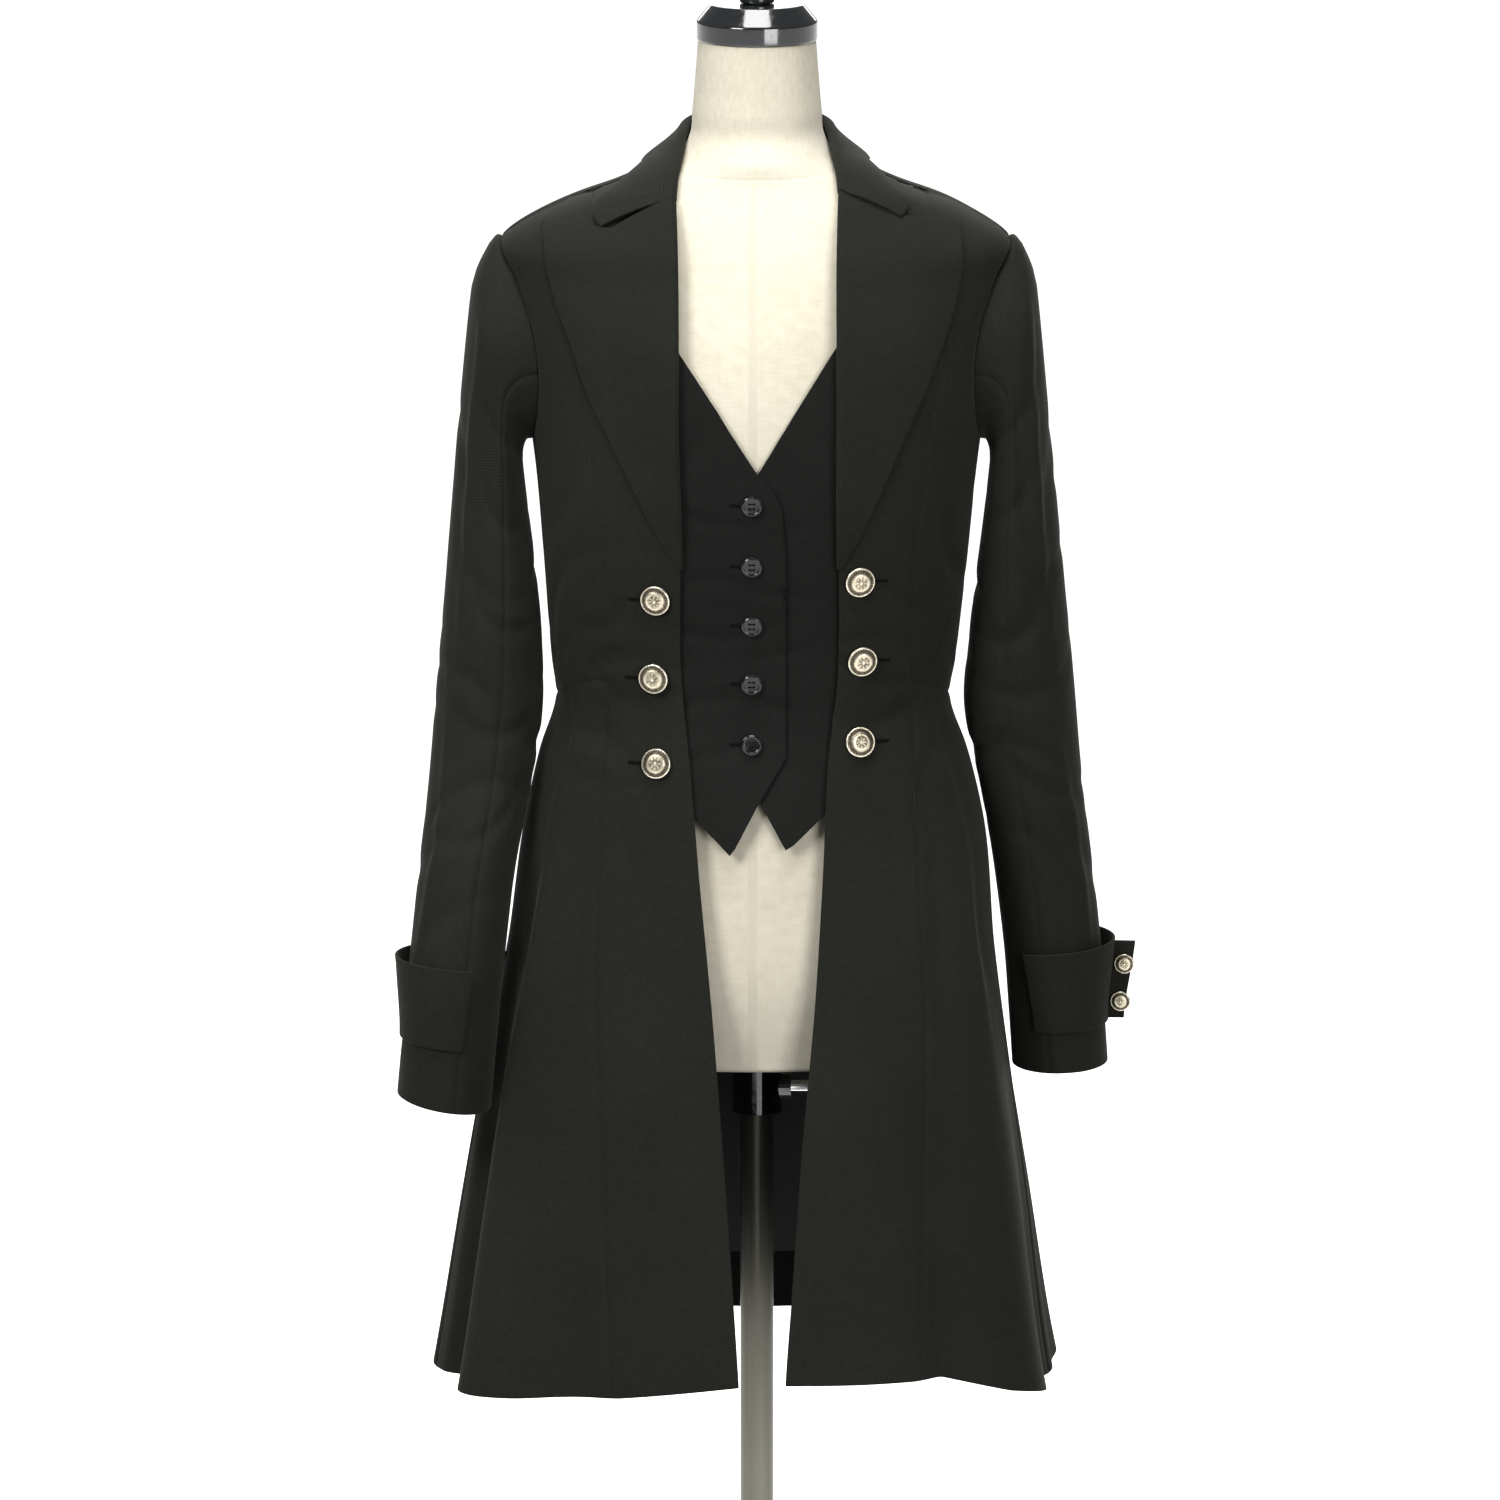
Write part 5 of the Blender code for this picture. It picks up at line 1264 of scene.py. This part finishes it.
def vest_front(side):
    table = VEST_LEFT if side == LEFT else VEST_RIGHT
    wide = table[-1, 0] - table[0, 0]
    columns = np.unique(np.concatenate([table[0, 0] + wide * spaced(wide, 0.0030), table[:, 0]]))
    across, share = np.meshgrid(columns, spaced(0.26, 0.0030))
    upper = np.interp(across, table[:, 0], table[:, 1])
    lower = np.interp(across, table[:, 0], table[:, 2])
    points, normals = vest_points(side, across, lower + share * (upper - lower))
    name = f"vest_front_{SIDES[side]}"
    piece = cloth_piece(name + "_cloth", points, normals, [waistcoating, lining], ("free",) * 4,
                        VEST_CLOTH)
    return declared(piece, name)


for side in SIDES:
    print(vest_front(side).name)

# %% [markdown]
# A buttonhole is worked in thread: close stitches stand round a slit in a narrow ridge. Each one
# here is a tube along a long closed loop on the cloth. Its radius swells and shrinks with each
# stitch, which gives the thread's small bars. The holes lie level, from each button outwards.

# %% Buttonholes
HOLE_RADIUS, HOLE_HALF_GAP, STITCH = 0.00055, 0.00062, 0.00075
TUBE_SIDES = 8


def thread_finish():
    """Twisted buttonhole thread: black with a soft shine along it."""
    made, tree, shader = new_finish("black_thread", (0.0035, 0.0035, 0.0033), 0.7)
    grain = noise(tree, place_in(tree), 2600.0)
    feed(tree, shader, {"Normal": bumped(tree, grain, 0.4, 0.0001), "Specular IOR Level": 0.04})
    return made


thread = thread_finish()


def loop_tube(path, normals, radius):
    """A closed tube: circles in the plane of each point's normal and its side direction."""
    along = np.roll(path, -1, axis=0) - np.roll(path, 1, axis=0)
    aside = unit(np.cross(along, normals))
    turn = np.linspace(0.0, 2 * np.pi, TUBE_SIDES, endpoint=False)
    ring = normals[:, None] * np.cos(turn)[:, None] + aside[:, None] * np.sin(turn)[:, None]
    points = path[:, None] + ring * radius[:, None, None]
    return points.reshape(-1, 3), grid_quads(len(path), TUBE_SIDES, closed=True, looped=True)


def hole_loop(place_on, across, height, half, slope=0.0):
    """A long loop with round ends: a stadium, whose points are put on the cloth."""
    count = 130
    way = np.linspace(0.0, 1.0, count, endpoint=False) * (4 * half + 2 * np.pi * HOLE_HALF_GAP)
    straight, bow = 2 * half, np.pi * HOLE_HALF_GAP
    turn = (np.clip(way - straight, 0.0, bow) + np.clip(way - 2 * straight - bow, 0.0, bow)) / HOLE_HALF_GAP
    run = np.clip(way, 0.0, straight) - np.clip(way - straight - bow, 0.0, straight)
    x = run - half + HOLE_HALF_GAP * np.sin(turn)
    z = -HOLE_HALF_GAP * np.cos(turn)
    path, normals = place_on(across + x, height + z + slope * x)
    swell = HOLE_RADIUS * (1.0 + 0.28 * np.abs(np.sin(np.pi * way / STITCH)))
    return loop_tube(path, normals, swell)


def joined(name, parts, finish):
    """Many small shapes as one mesh: each one's points and faces follow the last one's."""
    points, faces, count = [], [], 0
    for part_points, part_faces in parts:
        points.append(part_points)
        faces += (part_faces + count).tolist()
        count += len(part_points)
    made = put_mesh(name, np.concatenate(points), faces, [finish])
    return stands_for(facing_out(made), None)


def on_coat(across, height, lift=0.0):
    """Points on the worn coat's outer face with their normals."""
    angle = signed_angle(across, height)
    normals = normals_of(worn_coat, angle, height)
    return worn_coat(angle, height) + normals * lift, normals


# Middle of each hole: distance from the centre line, height, half length, slope.
COAT_HOLES = {LEFT: ((-0.0850, 1.0605, 0.0100, 0.02), (-0.0862, 1.0005, 0.0100, 0.03),
                     (-0.0852, 0.9365, 0.0102, 0.01)),
              RIGHT: ((0.0862, 1.0745, 0.0100, -0.02), (0.0873, 1.0135, 0.0100, -0.04),
                      (0.0862, 0.9520, 0.0100, 0.02))}
VEST_HOLE_MIDDLE, VEST_HOLE_HALF = -0.0115, 0.0080

for side in SIDES:
    holes = [hole_loop(lambda x, z: on_coat(x, z, 0.0001), *row) for row in COAT_HOLES[side]]
    print(joined(f"buttonholes_{SIDES[side]}", holes, thread).name)
vest_holes = [hole_loop(lambda x, z: vest_points(LEFT, x, z, 0.0001), VEST_HOLE_MIDDLE, height,
                        VEST_HOLE_HALF) for height, _ in VEST_BUTTONS]
print(joined("vest_buttonholes", vest_holes, thread).name)

# %% [markdown]
# The coat's buttons are cast metal, warm silver, with a rope-like rim, a darkened ring of fine
# ticks and a domed middle with a plain rosette. A button is a disc of rings: the height of each
# point is a function of its distance from the middle and of its angle round it. The dark in the
# hollows is painted from the same height, kept as a point attribute.

# %% Metal buttons
ROSETTE_LEAVES, TICKS, ROPE_TURNS = 8, 30, 44


def silver_finish():
    """Warm silver plate: bright on the raised parts, dark and rough in the hollows."""
    made, tree, shader = new_finish("aged_silver", (0.55, 0.51, 0.42), 0.3, 1.0)
    hollow = node(tree, "ShaderNodeAttribute", output="Fac", attribute_name="relief")
    tarnish = maths(tree, "ADD", noise(tree, place_in(tree), 420.0, 4.0), -0.5)
    height = maths(tree, "ADD", hollow, maths(tree, "MULTIPLY", tarnish, 0.5))
    colour = ramp(tree, height, [(0.0, (0.020, 0.017, 0.013)), (0.40, (0.095, 0.083, 0.060)),
                                 (0.64, (0.40, 0.355, 0.265)), (1.0, (0.66, 0.63, 0.55))])
    feed(tree, shader, {"Base Color": colour, "Roughness": ranged(tree, height, 0.62, 0.26)})
    return made


silver = silver_finish()


def bell(value, middle, half):
    return np.exp(-((value - middle) / half) ** 2)


def cast_relief(share, turn):
    """Height over the button's dome, and the hollows' shade, by share of the radius and angle."""
    rim = bell(share, 0.96, 0.040) * (0.90 + 0.10 * np.sin(ROPE_TURNS * turn + 40 * share))
    ring = bell(share, 0.77, 0.125)
    tick = ring * (0.5 + 0.5 * np.cos(TICKS * turn)) ** 2
    band = bell(share, 0.54, 0.10)
    leaf = np.clip(np.cos(ROSETTE_LEAVES * turn) * 0.5 + 0.5, 0, 1) ** 0.7 * bell(share, 0.29, 0.09)
    pearl = np.sqrt(np.clip(1.0 - (share / 0.11) ** 2, 0.0, 1.0))
    height = 0.60 * rim - 0.45 * ring + 0.30 * tick + 0.22 * band + 0.34 * leaf + 0.36 * pearl
    shade = (0.56 + 0.44 * rim - 0.50 * ring + 0.34 * tick + 0.16 * band + 0.26 * leaf
             + 0.26 * pearl - 0.20 * bell(share, 0.27, 0.13))
    return height, np.clip(shade, 0.0, 1.0)


def ring_solid(name, points, finish, uv=None, middles=None):
    """A closed body from rings. A point closes each end, unless it is given at the ring's middle."""
    rows, columns = points.shape[:2]
    if middles is None:
        middles = [points[0].mean(0), points[-1].mean(0)]
    faces = grid_quads(rows, columns, closed=True).tolist()
    start = rows * columns
    first, last = np.arange(columns), start - columns + np.arange(columns)
    faces += [(int(b), int(a), start) for a, b in zip(first, np.roll(first, -1))]
    faces += [(int(a), int(b), start + 1) for a, b in zip(last, np.roll(last, -1))]
    flat = None if uv is None else np.concatenate([uv.reshape(-1, 2), np.zeros((2, 2))])
    return facing_out(put_mesh(name, np.concatenate([points.reshape(-1, 3), middles]), faces,
                               [finish], flat))


# Back of a button: share of the radius, share of the edge's height, shade.
BUTTON_BACK = np.array([(0.80, 0.0, 0.3), (0.93, 0.06, 0.3), (0.985, 0.35, 0.4), (1.0, 0.7, 0.5)])


def disc_button(name, radius, edge, dome, relief, finish, foot, normal, aside, counts, pattern):
    """Rings from the middle of the back, round the edge, to the middle of the face."""
    rings, columns = counts
    share = 1.0 - np.linspace(0.0, 1.0, rings)
    turn = np.linspace(0.0, 2 * np.pi, columns, endpoint=False)
    wide, angle = np.meshgrid(share[:-1], turn, indexing="ij")
    rise, shade = pattern(wide, angle)
    face = edge + (dome - edge) * (1.0 - wide ** 2.2) + relief * rise * (1.0 - wide ** 24)
    back = [np.repeat(BUTTON_BACK[:, i:i + 1], columns, 1) for i in range(3)]
    radii = np.concatenate([back[0], wide]) * radius
    levels = np.concatenate([back[1] * edge, face])
    local = ((radii * np.cos(turn))[..., None] * aside
             + (radii * np.sin(turn))[..., None] * np.cross(normal, aside)
             + levels[..., None] * normal)
    middle_rise, middle_shade = pattern(np.zeros(1), np.zeros(1))
    made = ring_solid(name, foot + local, finish,
                      middles=[foot, foot + normal * (dome + relief * middle_rise[0])])
    shades = np.concatenate([back[2].ravel(), shade.ravel(), BUTTON_BACK[:1, 2], middle_shade])
    made.data.attributes.new("relief", "FLOAT", "POINT").data.foreach_set(
        "value", shades.astype(np.float32))
    return made


def level_side(normal):
    return unit(np.cross((0.0, 0.0, 1.0), normal))


for side in SIDES:
    for number, (across, height, room) in enumerate(METAL_PLACES[side], 1):
        foot, normal = on_coat(np.full(1, side * across), np.full(1, height), room + SEAT)
        name = f"metal_button_{SIDES[side]}_{number}"
        made = disc_button(name + "_cast", *METAL_BUTTON, 0.0010, silver, foot[0], normal[0],
                           level_side(normal[0]), (46, 120), cast_relief)
        stands_for(made, name)
    for number, share in enumerate(CUFF_BUTTON_SHARES, 1):
        foot, out, _ = tab_frame(side, share)
        along = tab_frame(side, share + 0.1)[0] - foot
        front = np.cross(out, along)
        front = front * -np.sign(front[1]) / np.linalg.norm(front)
        middle = foot + out * (CUFF_BUTTON[0] + ON_CLOTH) + front * (TAB_WALL / 2 + 0.0006)
        name = f"cuff_button_{SIDES[side]}_{number}"
        made = disc_button(name + "_cast", *CUFF_BUTTON, 0.0007, silver, middle, front,
                           level_side(front), (32, 72), cast_relief)
        stands_for(made, name)
print("metal buttons:", sum(len(rows) for rows in METAL_PLACES.values()), "large and 4 small")

# %% [markdown]
# The waistcoat's buttons are black, polished, with a raised rim, a dished middle and four holes,
# through which two bars of thread hold them. The dish and the holes are dips in the same disc.

# %% Waistcoat buttons
HOLE_PLACE, HOLE_SIZE = 0.24, 0.085  # distance of each hole from the middle and its radius


def resin_finish():
    """Polished black with hair-fine scratches that only show in its shine."""
    made, tree, shader = new_finish("black_resin", (0.004, 0.004, 0.0045), 0.16)
    scratch = noise(tree, place_in(tree), 900.0)
    feed(tree, shader, {"Roughness": ranged(tree, scratch, 0.08, 0.24), "Specular IOR Level": 0.36})
    return made


resin = resin_finish()


def four_holes(share, turn):
    """Rim, dish and holes: bells round four places beside the middle."""
    x, y = share * np.cos(turn), share * np.sin(turn)
    holes = sum(np.exp(-(((x - a) ** 2 + (y - b) ** 2) / HOLE_SIZE ** 2) ** 2)
                for a in (-HOLE_PLACE, HOLE_PLACE) for b in (-HOLE_PLACE, HOLE_PLACE))
    return 0.9 * bell(share, 0.84, 0.10) - 0.8 * bell(share, 0.0, 0.55) - 2.1 * holes, 0.5 + 0 * share


bars = []
for number, (height, room) in enumerate(VEST_BUTTONS, 1):
    foot, normal = vest_points(LEFT, np.full(1, VEST_BUTTON_SIDE), np.full(1, height), room + SEAT)
    foot, normal, name = foot[0], normal[0], f"vest_button_{number}"
    aside = level_side(normal)
    made = disc_button(name + "_dished", *VEST_BUTTON, 0.0007, resin, foot, normal, aside,
                       (44, 88), four_holes)
    stands_for(made, name)
    up = np.cross(normal, aside)
    for place in (-HOLE_PLACE, HOLE_PLACE):
        turn = np.linspace(0.0, 2 * np.pi, 40, endpoint=False)
        radius = VEST_BUTTON[0]
        path = (foot + normal * (VEST_BUTTON[2] - 0.0012) + up * place * radius
                + np.outer(np.cos(turn), aside) * HOLE_PLACE * radius
                + np.outer(np.sin(turn), normal) * 0.0011)
        bars.append(loop_tube(path, np.tile(up, (40, 1)), np.full(40, 0.00038)))
print(joined("vest_button_thread", bars, thread).name)

# %% [markdown]
# The dress form is a firm padded shell covered in tight cream linen, cut in panels with a seam down
# the middle and one round the neck. It has no folds, so it is modelled as level rings, with the
# seams as fine grooves beside a raised line. Its underside is open for the pole, which slides in
# it, so the surface turns in at the bottom and goes on up inside as a bore.

# %% Dress form
NECK_SEAM, SEAM_GROOVE = 1.3664, 0.0005
BORE_RADIUS, BORE_TOP, FORM_EDGE = 0.0135, 1.1000, 0.0040
FORM_COLUMNS = 144
FORM_WIDTH, FORM_DEPTH = 0.12, 0.06  # usual distances from the axis, which scale edge and grooves


def linen_finish():
    """Plain weave: two crossing sets of threads, uneven in thickness, in warm cream."""
    made, tree, shader = new_finish("cream_linen", (0.80, 0.72, 0.58), 0.82)
    cloth = cloth_in(tree)
    sets = [node(tree, "ShaderNodeTexWave", {"Vector": cloth, "Scale": 340.0, "Distortion": 1.6,
                                             "Detail": 2.0, "Detail Scale": 0.6},
                 "Fac", bands_direction=way) for way in ("X", "Y")]
    slubs = noise(tree, cloth, 120.0, 5.0)
    shade = maths(tree, "ADD", slubs, noise(tree, place_in(tree), 9.0, 3.0))
    colour = ramp(tree, maths(tree, "MULTIPLY", shade, 0.5),
                  [(0.30, (0.50, 0.46, 0.355)), (0.50, (0.57, 0.53, 0.42)),
                   (0.72, (0.62, 0.585, 0.475))])
    height = maths(tree, "ADD", maths(tree, "MAXIMUM", *sets), slubs)
    feed(tree, shader, {"Base Color": colour, "Normal": bumped(tree, height, 0.45, 0.00035),
                        "Sheen Weight": 0.12})
    return made


linen = linen_finish()


def torso():
    """Level rings from the neck down, round the lower edge, across the underside and up the bore."""
    levels = np.concatenate([np.linspace(FORM_RINGS[0, 0] + FORM_EDGE, SHOULDER_FROM, 150),
                             np.linspace(SHOULDER_FROM, FORM_RINGS[-1, 0], 120)[1:]])
    half, front, back = (column(FORM_RINGS, levels, i) for i in (1, 2, 3))
    coat_half = np.minimum(half_width(LEFT, levels + SHOULDER_DROP),
                           half_width(RIGHT, levels + SHOULDER_DROP)) - 0.0006
    under = (levels > SHOULDER_FROM) & (levels + SHOULDER_DROP < COAT_RINGS[-1, 0])
    half = np.where(under, np.minimum(half, coat_half), half)
    turn = np.linspace(0.0, 2 * np.pi, FORM_COLUMNS, endpoint=False)
    deep = np.where(np.cos(turn) > 0, front[:, None], back[:, None])
    neck = NECK_SEAM + 0.016 * (1 - np.cos(turn)) / 2
    groove = bell(levels[:, None], neck, 0.0009) - 0.5 * bell(levels[:, None], neck, 0.0028)
    from_front = np.minimum(turn, 2 * np.pi - turn)
    from_back = np.abs(turn - np.pi)
    for away in (from_front, from_back):
        groove = groove + (bell(away[None], 0.0, 0.011) - 0.4 * bell(away[None], 0.0, 0.034)
                           + 0 * levels[:, None])
    size = 1.0 - SEAM_GROOVE * groove / FORM_DEPTH
    x = half[:, None] * np.sin(turn) * size
    y = -deep * np.cos(turn) * size
    rings = np.stack([x, y, levels[:, None] + 0 * turn], axis=-1)
    bottom = FORM_RINGS[0, 0]
    foot = rings[0]
    rounds = np.linspace(0.0, np.pi / 2, 6)[1:]
    edge = [np.stack([foot[:, 0] * (1 - FORM_EDGE / FORM_WIDTH * (1 - np.cos(a))),
                      foot[:, 1] * (1 - FORM_EDGE / FORM_WIDTH * (1 - np.cos(a))),
                      bottom + FORM_EDGE * (1 - np.sin(a)) + 0 * turn], axis=-1) for a in rounds]
    circle = np.stack([np.sin(turn), -np.cos(turn), 0 * turn], axis=-1)
    inner = [edge[-1] * (1 - s) + (circle * BORE_RADIUS + (0, 0, bottom)) * s
             for s in (0.4, 0.8)]
    bore = [circle * BORE_RADIUS + (0, 0, level) for level in (bottom, bottom + 0.001, BORE_TOP)]
    top = [rings[-1] * (s, s, 1.0) for s in (0.5, 0.97)]
    points = np.concatenate([np.array(top), rings[::-1], np.array(edge), np.array(inner),
                             np.array(bore)])
    along = np.concatenate([[[0.0]], np.cumsum(np.linalg.norm(np.diff(points[:, :1], axis=0),
                                                              axis=-1), axis=0)])
    uv = np.stack(np.broadcast_arrays(turn[None] * FORM_WIDTH, along), axis=-1)
    return stands_for(ring_solid("torso_linen", points, linen, uv), "torso")


print(torso().name, "with a bore of", BORE_RADIUS * 2000, "mm")

# %% [markdown]
# The neck cap and its knob are turned and lacquered gloss black. The pole is a satin tube, and the
# foot a heavy round plate. A turned part is a profile swept round the axis. The profile's corners
# are rounded with a few points each, so that they catch a thin line of light.

# %% Cap, knob, pole and foot
def gloss_finish():
    """Gloss lacquer with the slightest unevenness, and fine dust in its shine."""
    made, tree, shader = new_finish("black_gloss", (0.008, 0.009, 0.010), 0.10)
    dust = noise(tree, place_in(tree), 260.0, 5.0)
    feed(tree, shader, {"Roughness": ranged(tree, dust, 0.08, 0.24, 0.35, 0.75),
                        "Coat Weight": 0.6, "Coat Roughness": 0.06})
    return made


def satin_finish():
    """Satin grey tube with fine lines drawn along it, and painted shade that darkens it higher up, inside
    the coat.
    """
    made, tree, shader = new_finish("grey_satin_metal", (0.155, 0.150, 0.125), 0.38, 0.85)
    drawn = node(tree, "ShaderNodeMapping", {"Vector": place_in(tree), "Scale": (900.0, 900.0, 6.0)})
    lines = noise(tree, drawn, 1.0, 3.0)
    colour = ramp(tree, lines, [(0.3, (0.112, 0.108, 0.088)), (0.7, (0.146, 0.141, 0.116))])
    # painted shade: the pole's colour darkens from 0.38 m up to 0.60 m, where the coat's skirt shades it
    inside = ranged(tree, level_in(tree), 1.0, 0.40, 0.38, 0.60)
    feed(tree, shader, {"Base Color": darkened(tree, colour, inside),
                        "Roughness": ranged(tree, lines, 0.30, 0.50)})
    return made


def chrome_finish():
    """Polished chrome with faint smears."""
    made, tree, shader = new_finish("chrome", (0.72, 0.72, 0.71), 0.12, 1.0)
    feed(tree, shader, {"Roughness": ranged(tree, noise(tree, place_in(tree), 240.0), 0.06, 0.22)})
    return made


gloss, satin, chrome = gloss_finish(), satin_finish(), chrome_finish()


def rounded_profile(profile, radius, steps=5):
    """The profile with each inner corner replaced by a quadratic arc between its two sides."""
    points = [np.array(p, float) for p in profile]
    made = [points[0]]
    for before, corner, after in zip(points, points[1:], points[2:]):
        cut = min(radius, np.linalg.norm(before - corner) * 0.45, np.linalg.norm(after - corner) * 0.45)
        start = corner + (before - corner) * cut / np.linalg.norm(before - corner)
        end = corner + (after - corner) * cut / np.linalg.norm(after - corner)
        for t in np.linspace(0.0, 1.0, steps):
            made.append(start * (1 - t) ** 2 + corner * 2 * t * (1 - t) + end * t * t)
    made.append(points[-1])
    return np.array(made)


def turned_part(name, profile, radius, finish, cad_node, body, columns=128):
    """The rounded profile swept round the upright axis."""
    line = rounded_profile(profile, radius)
    turn = np.linspace(0.0, 2 * np.pi, columns, endpoint=False)
    wide = line[1:-1, 0][:, None]
    points = np.stack(np.broadcast_arrays(wide * np.cos(turn), wide * np.sin(turn),
                                          line[1:-1, 1][:, None]), axis=-1)
    made = ring_solid(name, points, finish)
    made.data.set_sharp_from_angle(angle=np.radians(50))
    return stands_for(made, cad_node, body)


POLE_FOOT = 0.0100  # the tube stands in the foot's socket from this level up
POLE_PROFILE = ((0.0, POLE_FOOT), (POLE_RADIUS, POLE_FOOT), (POLE_RADIUS, POLE_TOP), (0.0, POLE_TOP))
FOOT_PROFILE = ((0.0, 0.0), (0.1880, 0.0), (0.1900, 0.0015), (0.1900, 0.0060), (0.1860, 0.0075),
                (0.0300, 0.0140), (0.0200, 0.0200), (0.0200, 0.0700), (0.0128, 0.0700),
                (0.0128, 0.0097), (0.0, 0.0097))
turned_part("neck_cap_turned", CAP_PROFILE, 0.0008, gloss, "neck_cap", "form")
turned_part("cap_knob_turned", KNOB_PROFILE, 0.0020, gloss, "cap_knob", "form", 64)
turned_part("pole_tube", POLE_PROFILE, 0.0010, satin, "pole", "pole", 72)
turned_part("foot_plate", FOOT_PROFILE, 0.0020, gloss, "foot", "stand")
for name, finish in (("pole_collar", gloss), ("clamp_screw", chrome)):
    kept = frame["nodes"][name]
    for place in kept.material_slots:
        place.material = finish
print("kept as packed: pole_collar, clamp_screw")

# %% [markdown]
# The photo was taken in a white studio: soft light from all round, a little stronger from above
# and in front, and a long lens from slightly above the middle of the coat. The floor and the
# world past it are the same white, and large area lights give the soft shading.

# %% Floor and light
FLOOR_REACH = 26.0
WORLD_LIGHT = 0.17  # strength of the world's white on the piece; the camera sees it at 1

# Place, height of the point on the axis that it aims at, size, power.
LIGHTS = {"key_light": ((-2.1, -2.4, 3.1), 1.25, 1.3, 112),
          "fill_light": ((1.6, -3.2, 1.5), 1.05, 1.6, 72),
          "top_light": ((0.0, -0.5, 3.6), 1.2, 1.4, 85),
          "back_light": ((0.0, 2.6, 2.8), 1.0, 2.6, 70)}


def backdrop():
    """A wide level floor. What is past it is the white of the world."""
    line = np.linspace(-FLOOR_REACH, FLOOR_REACH, 9)
    points = np.stack(np.broadcast_arrays(line[None], line[:, None], 0.0), axis=-1)
    white, tree, shader = new_finish("studio_white", (0.90, 0.90, 0.90), 0.9)
    feed(tree, shader, {"Emission Color": (1.0, 1.0, 1.0, 1.0), "Emission Strength": 1.0})
    sweep = put_mesh("studio_floor", points, grid_quads(len(line), len(line)).tolist(), [white])
    sweep.visible_diffuse = False


def aimed(name, data, place, aim):
    """An object that looks from its place to its aim."""
    made = bpy.data.objects.new(name, data)
    made.location = place
    made.rotation_euler = (Vector(aim) - Vector(place)).to_track_quat("-Z", "Y").to_euler()
    bpy.context.scene.collection.objects.link(made)
    return made


def area_light(name, place, level, size, power):
    """A square light aimed at a level of the axis."""
    data = bpy.data.lights.new(name, "AREA")
    data.shape, data.size, data.energy = "SQUARE", size, power
    aimed(name, data, place, (0.0, 0.0, level))


def white_world():
    """Full white to the camera, and a weaker white to everything else."""
    world = bpy.data.worlds.new("studio")
    world.use_nodes = True
    tree = world.node_tree
    seen = node(tree, "ShaderNodeLightPath", output="Is Camera Ray")
    feed(tree, tree.nodes["Background"], {"Color": (1.0, 1.0, 1.0, 1.0),
                                          "Strength": ranged(tree, seen, WORLD_LIGHT, 1.0)})
    bpy.context.scene.world = world


backdrop()
for name, row in LIGHTS.items():
    area_light(name, *row)
white_world()
bpy.context.scene.view_settings.view_transform = "Standard"

# %% Camera
SENSOR, LENS = 36.0, 321.6
CAMERA_PLACE, CAMERA_AIM = (-0.0052, -9.816, 2.836), (-0.0052, 0.0, 0.9282)

camera_data = bpy.data.cameras.new("camera")
camera_data.sensor_width, camera_data.lens = SENSOR, LENS
bpy.context.scene.camera = aimed("camera", camera_data, CAMERA_PLACE, CAMERA_AIM)
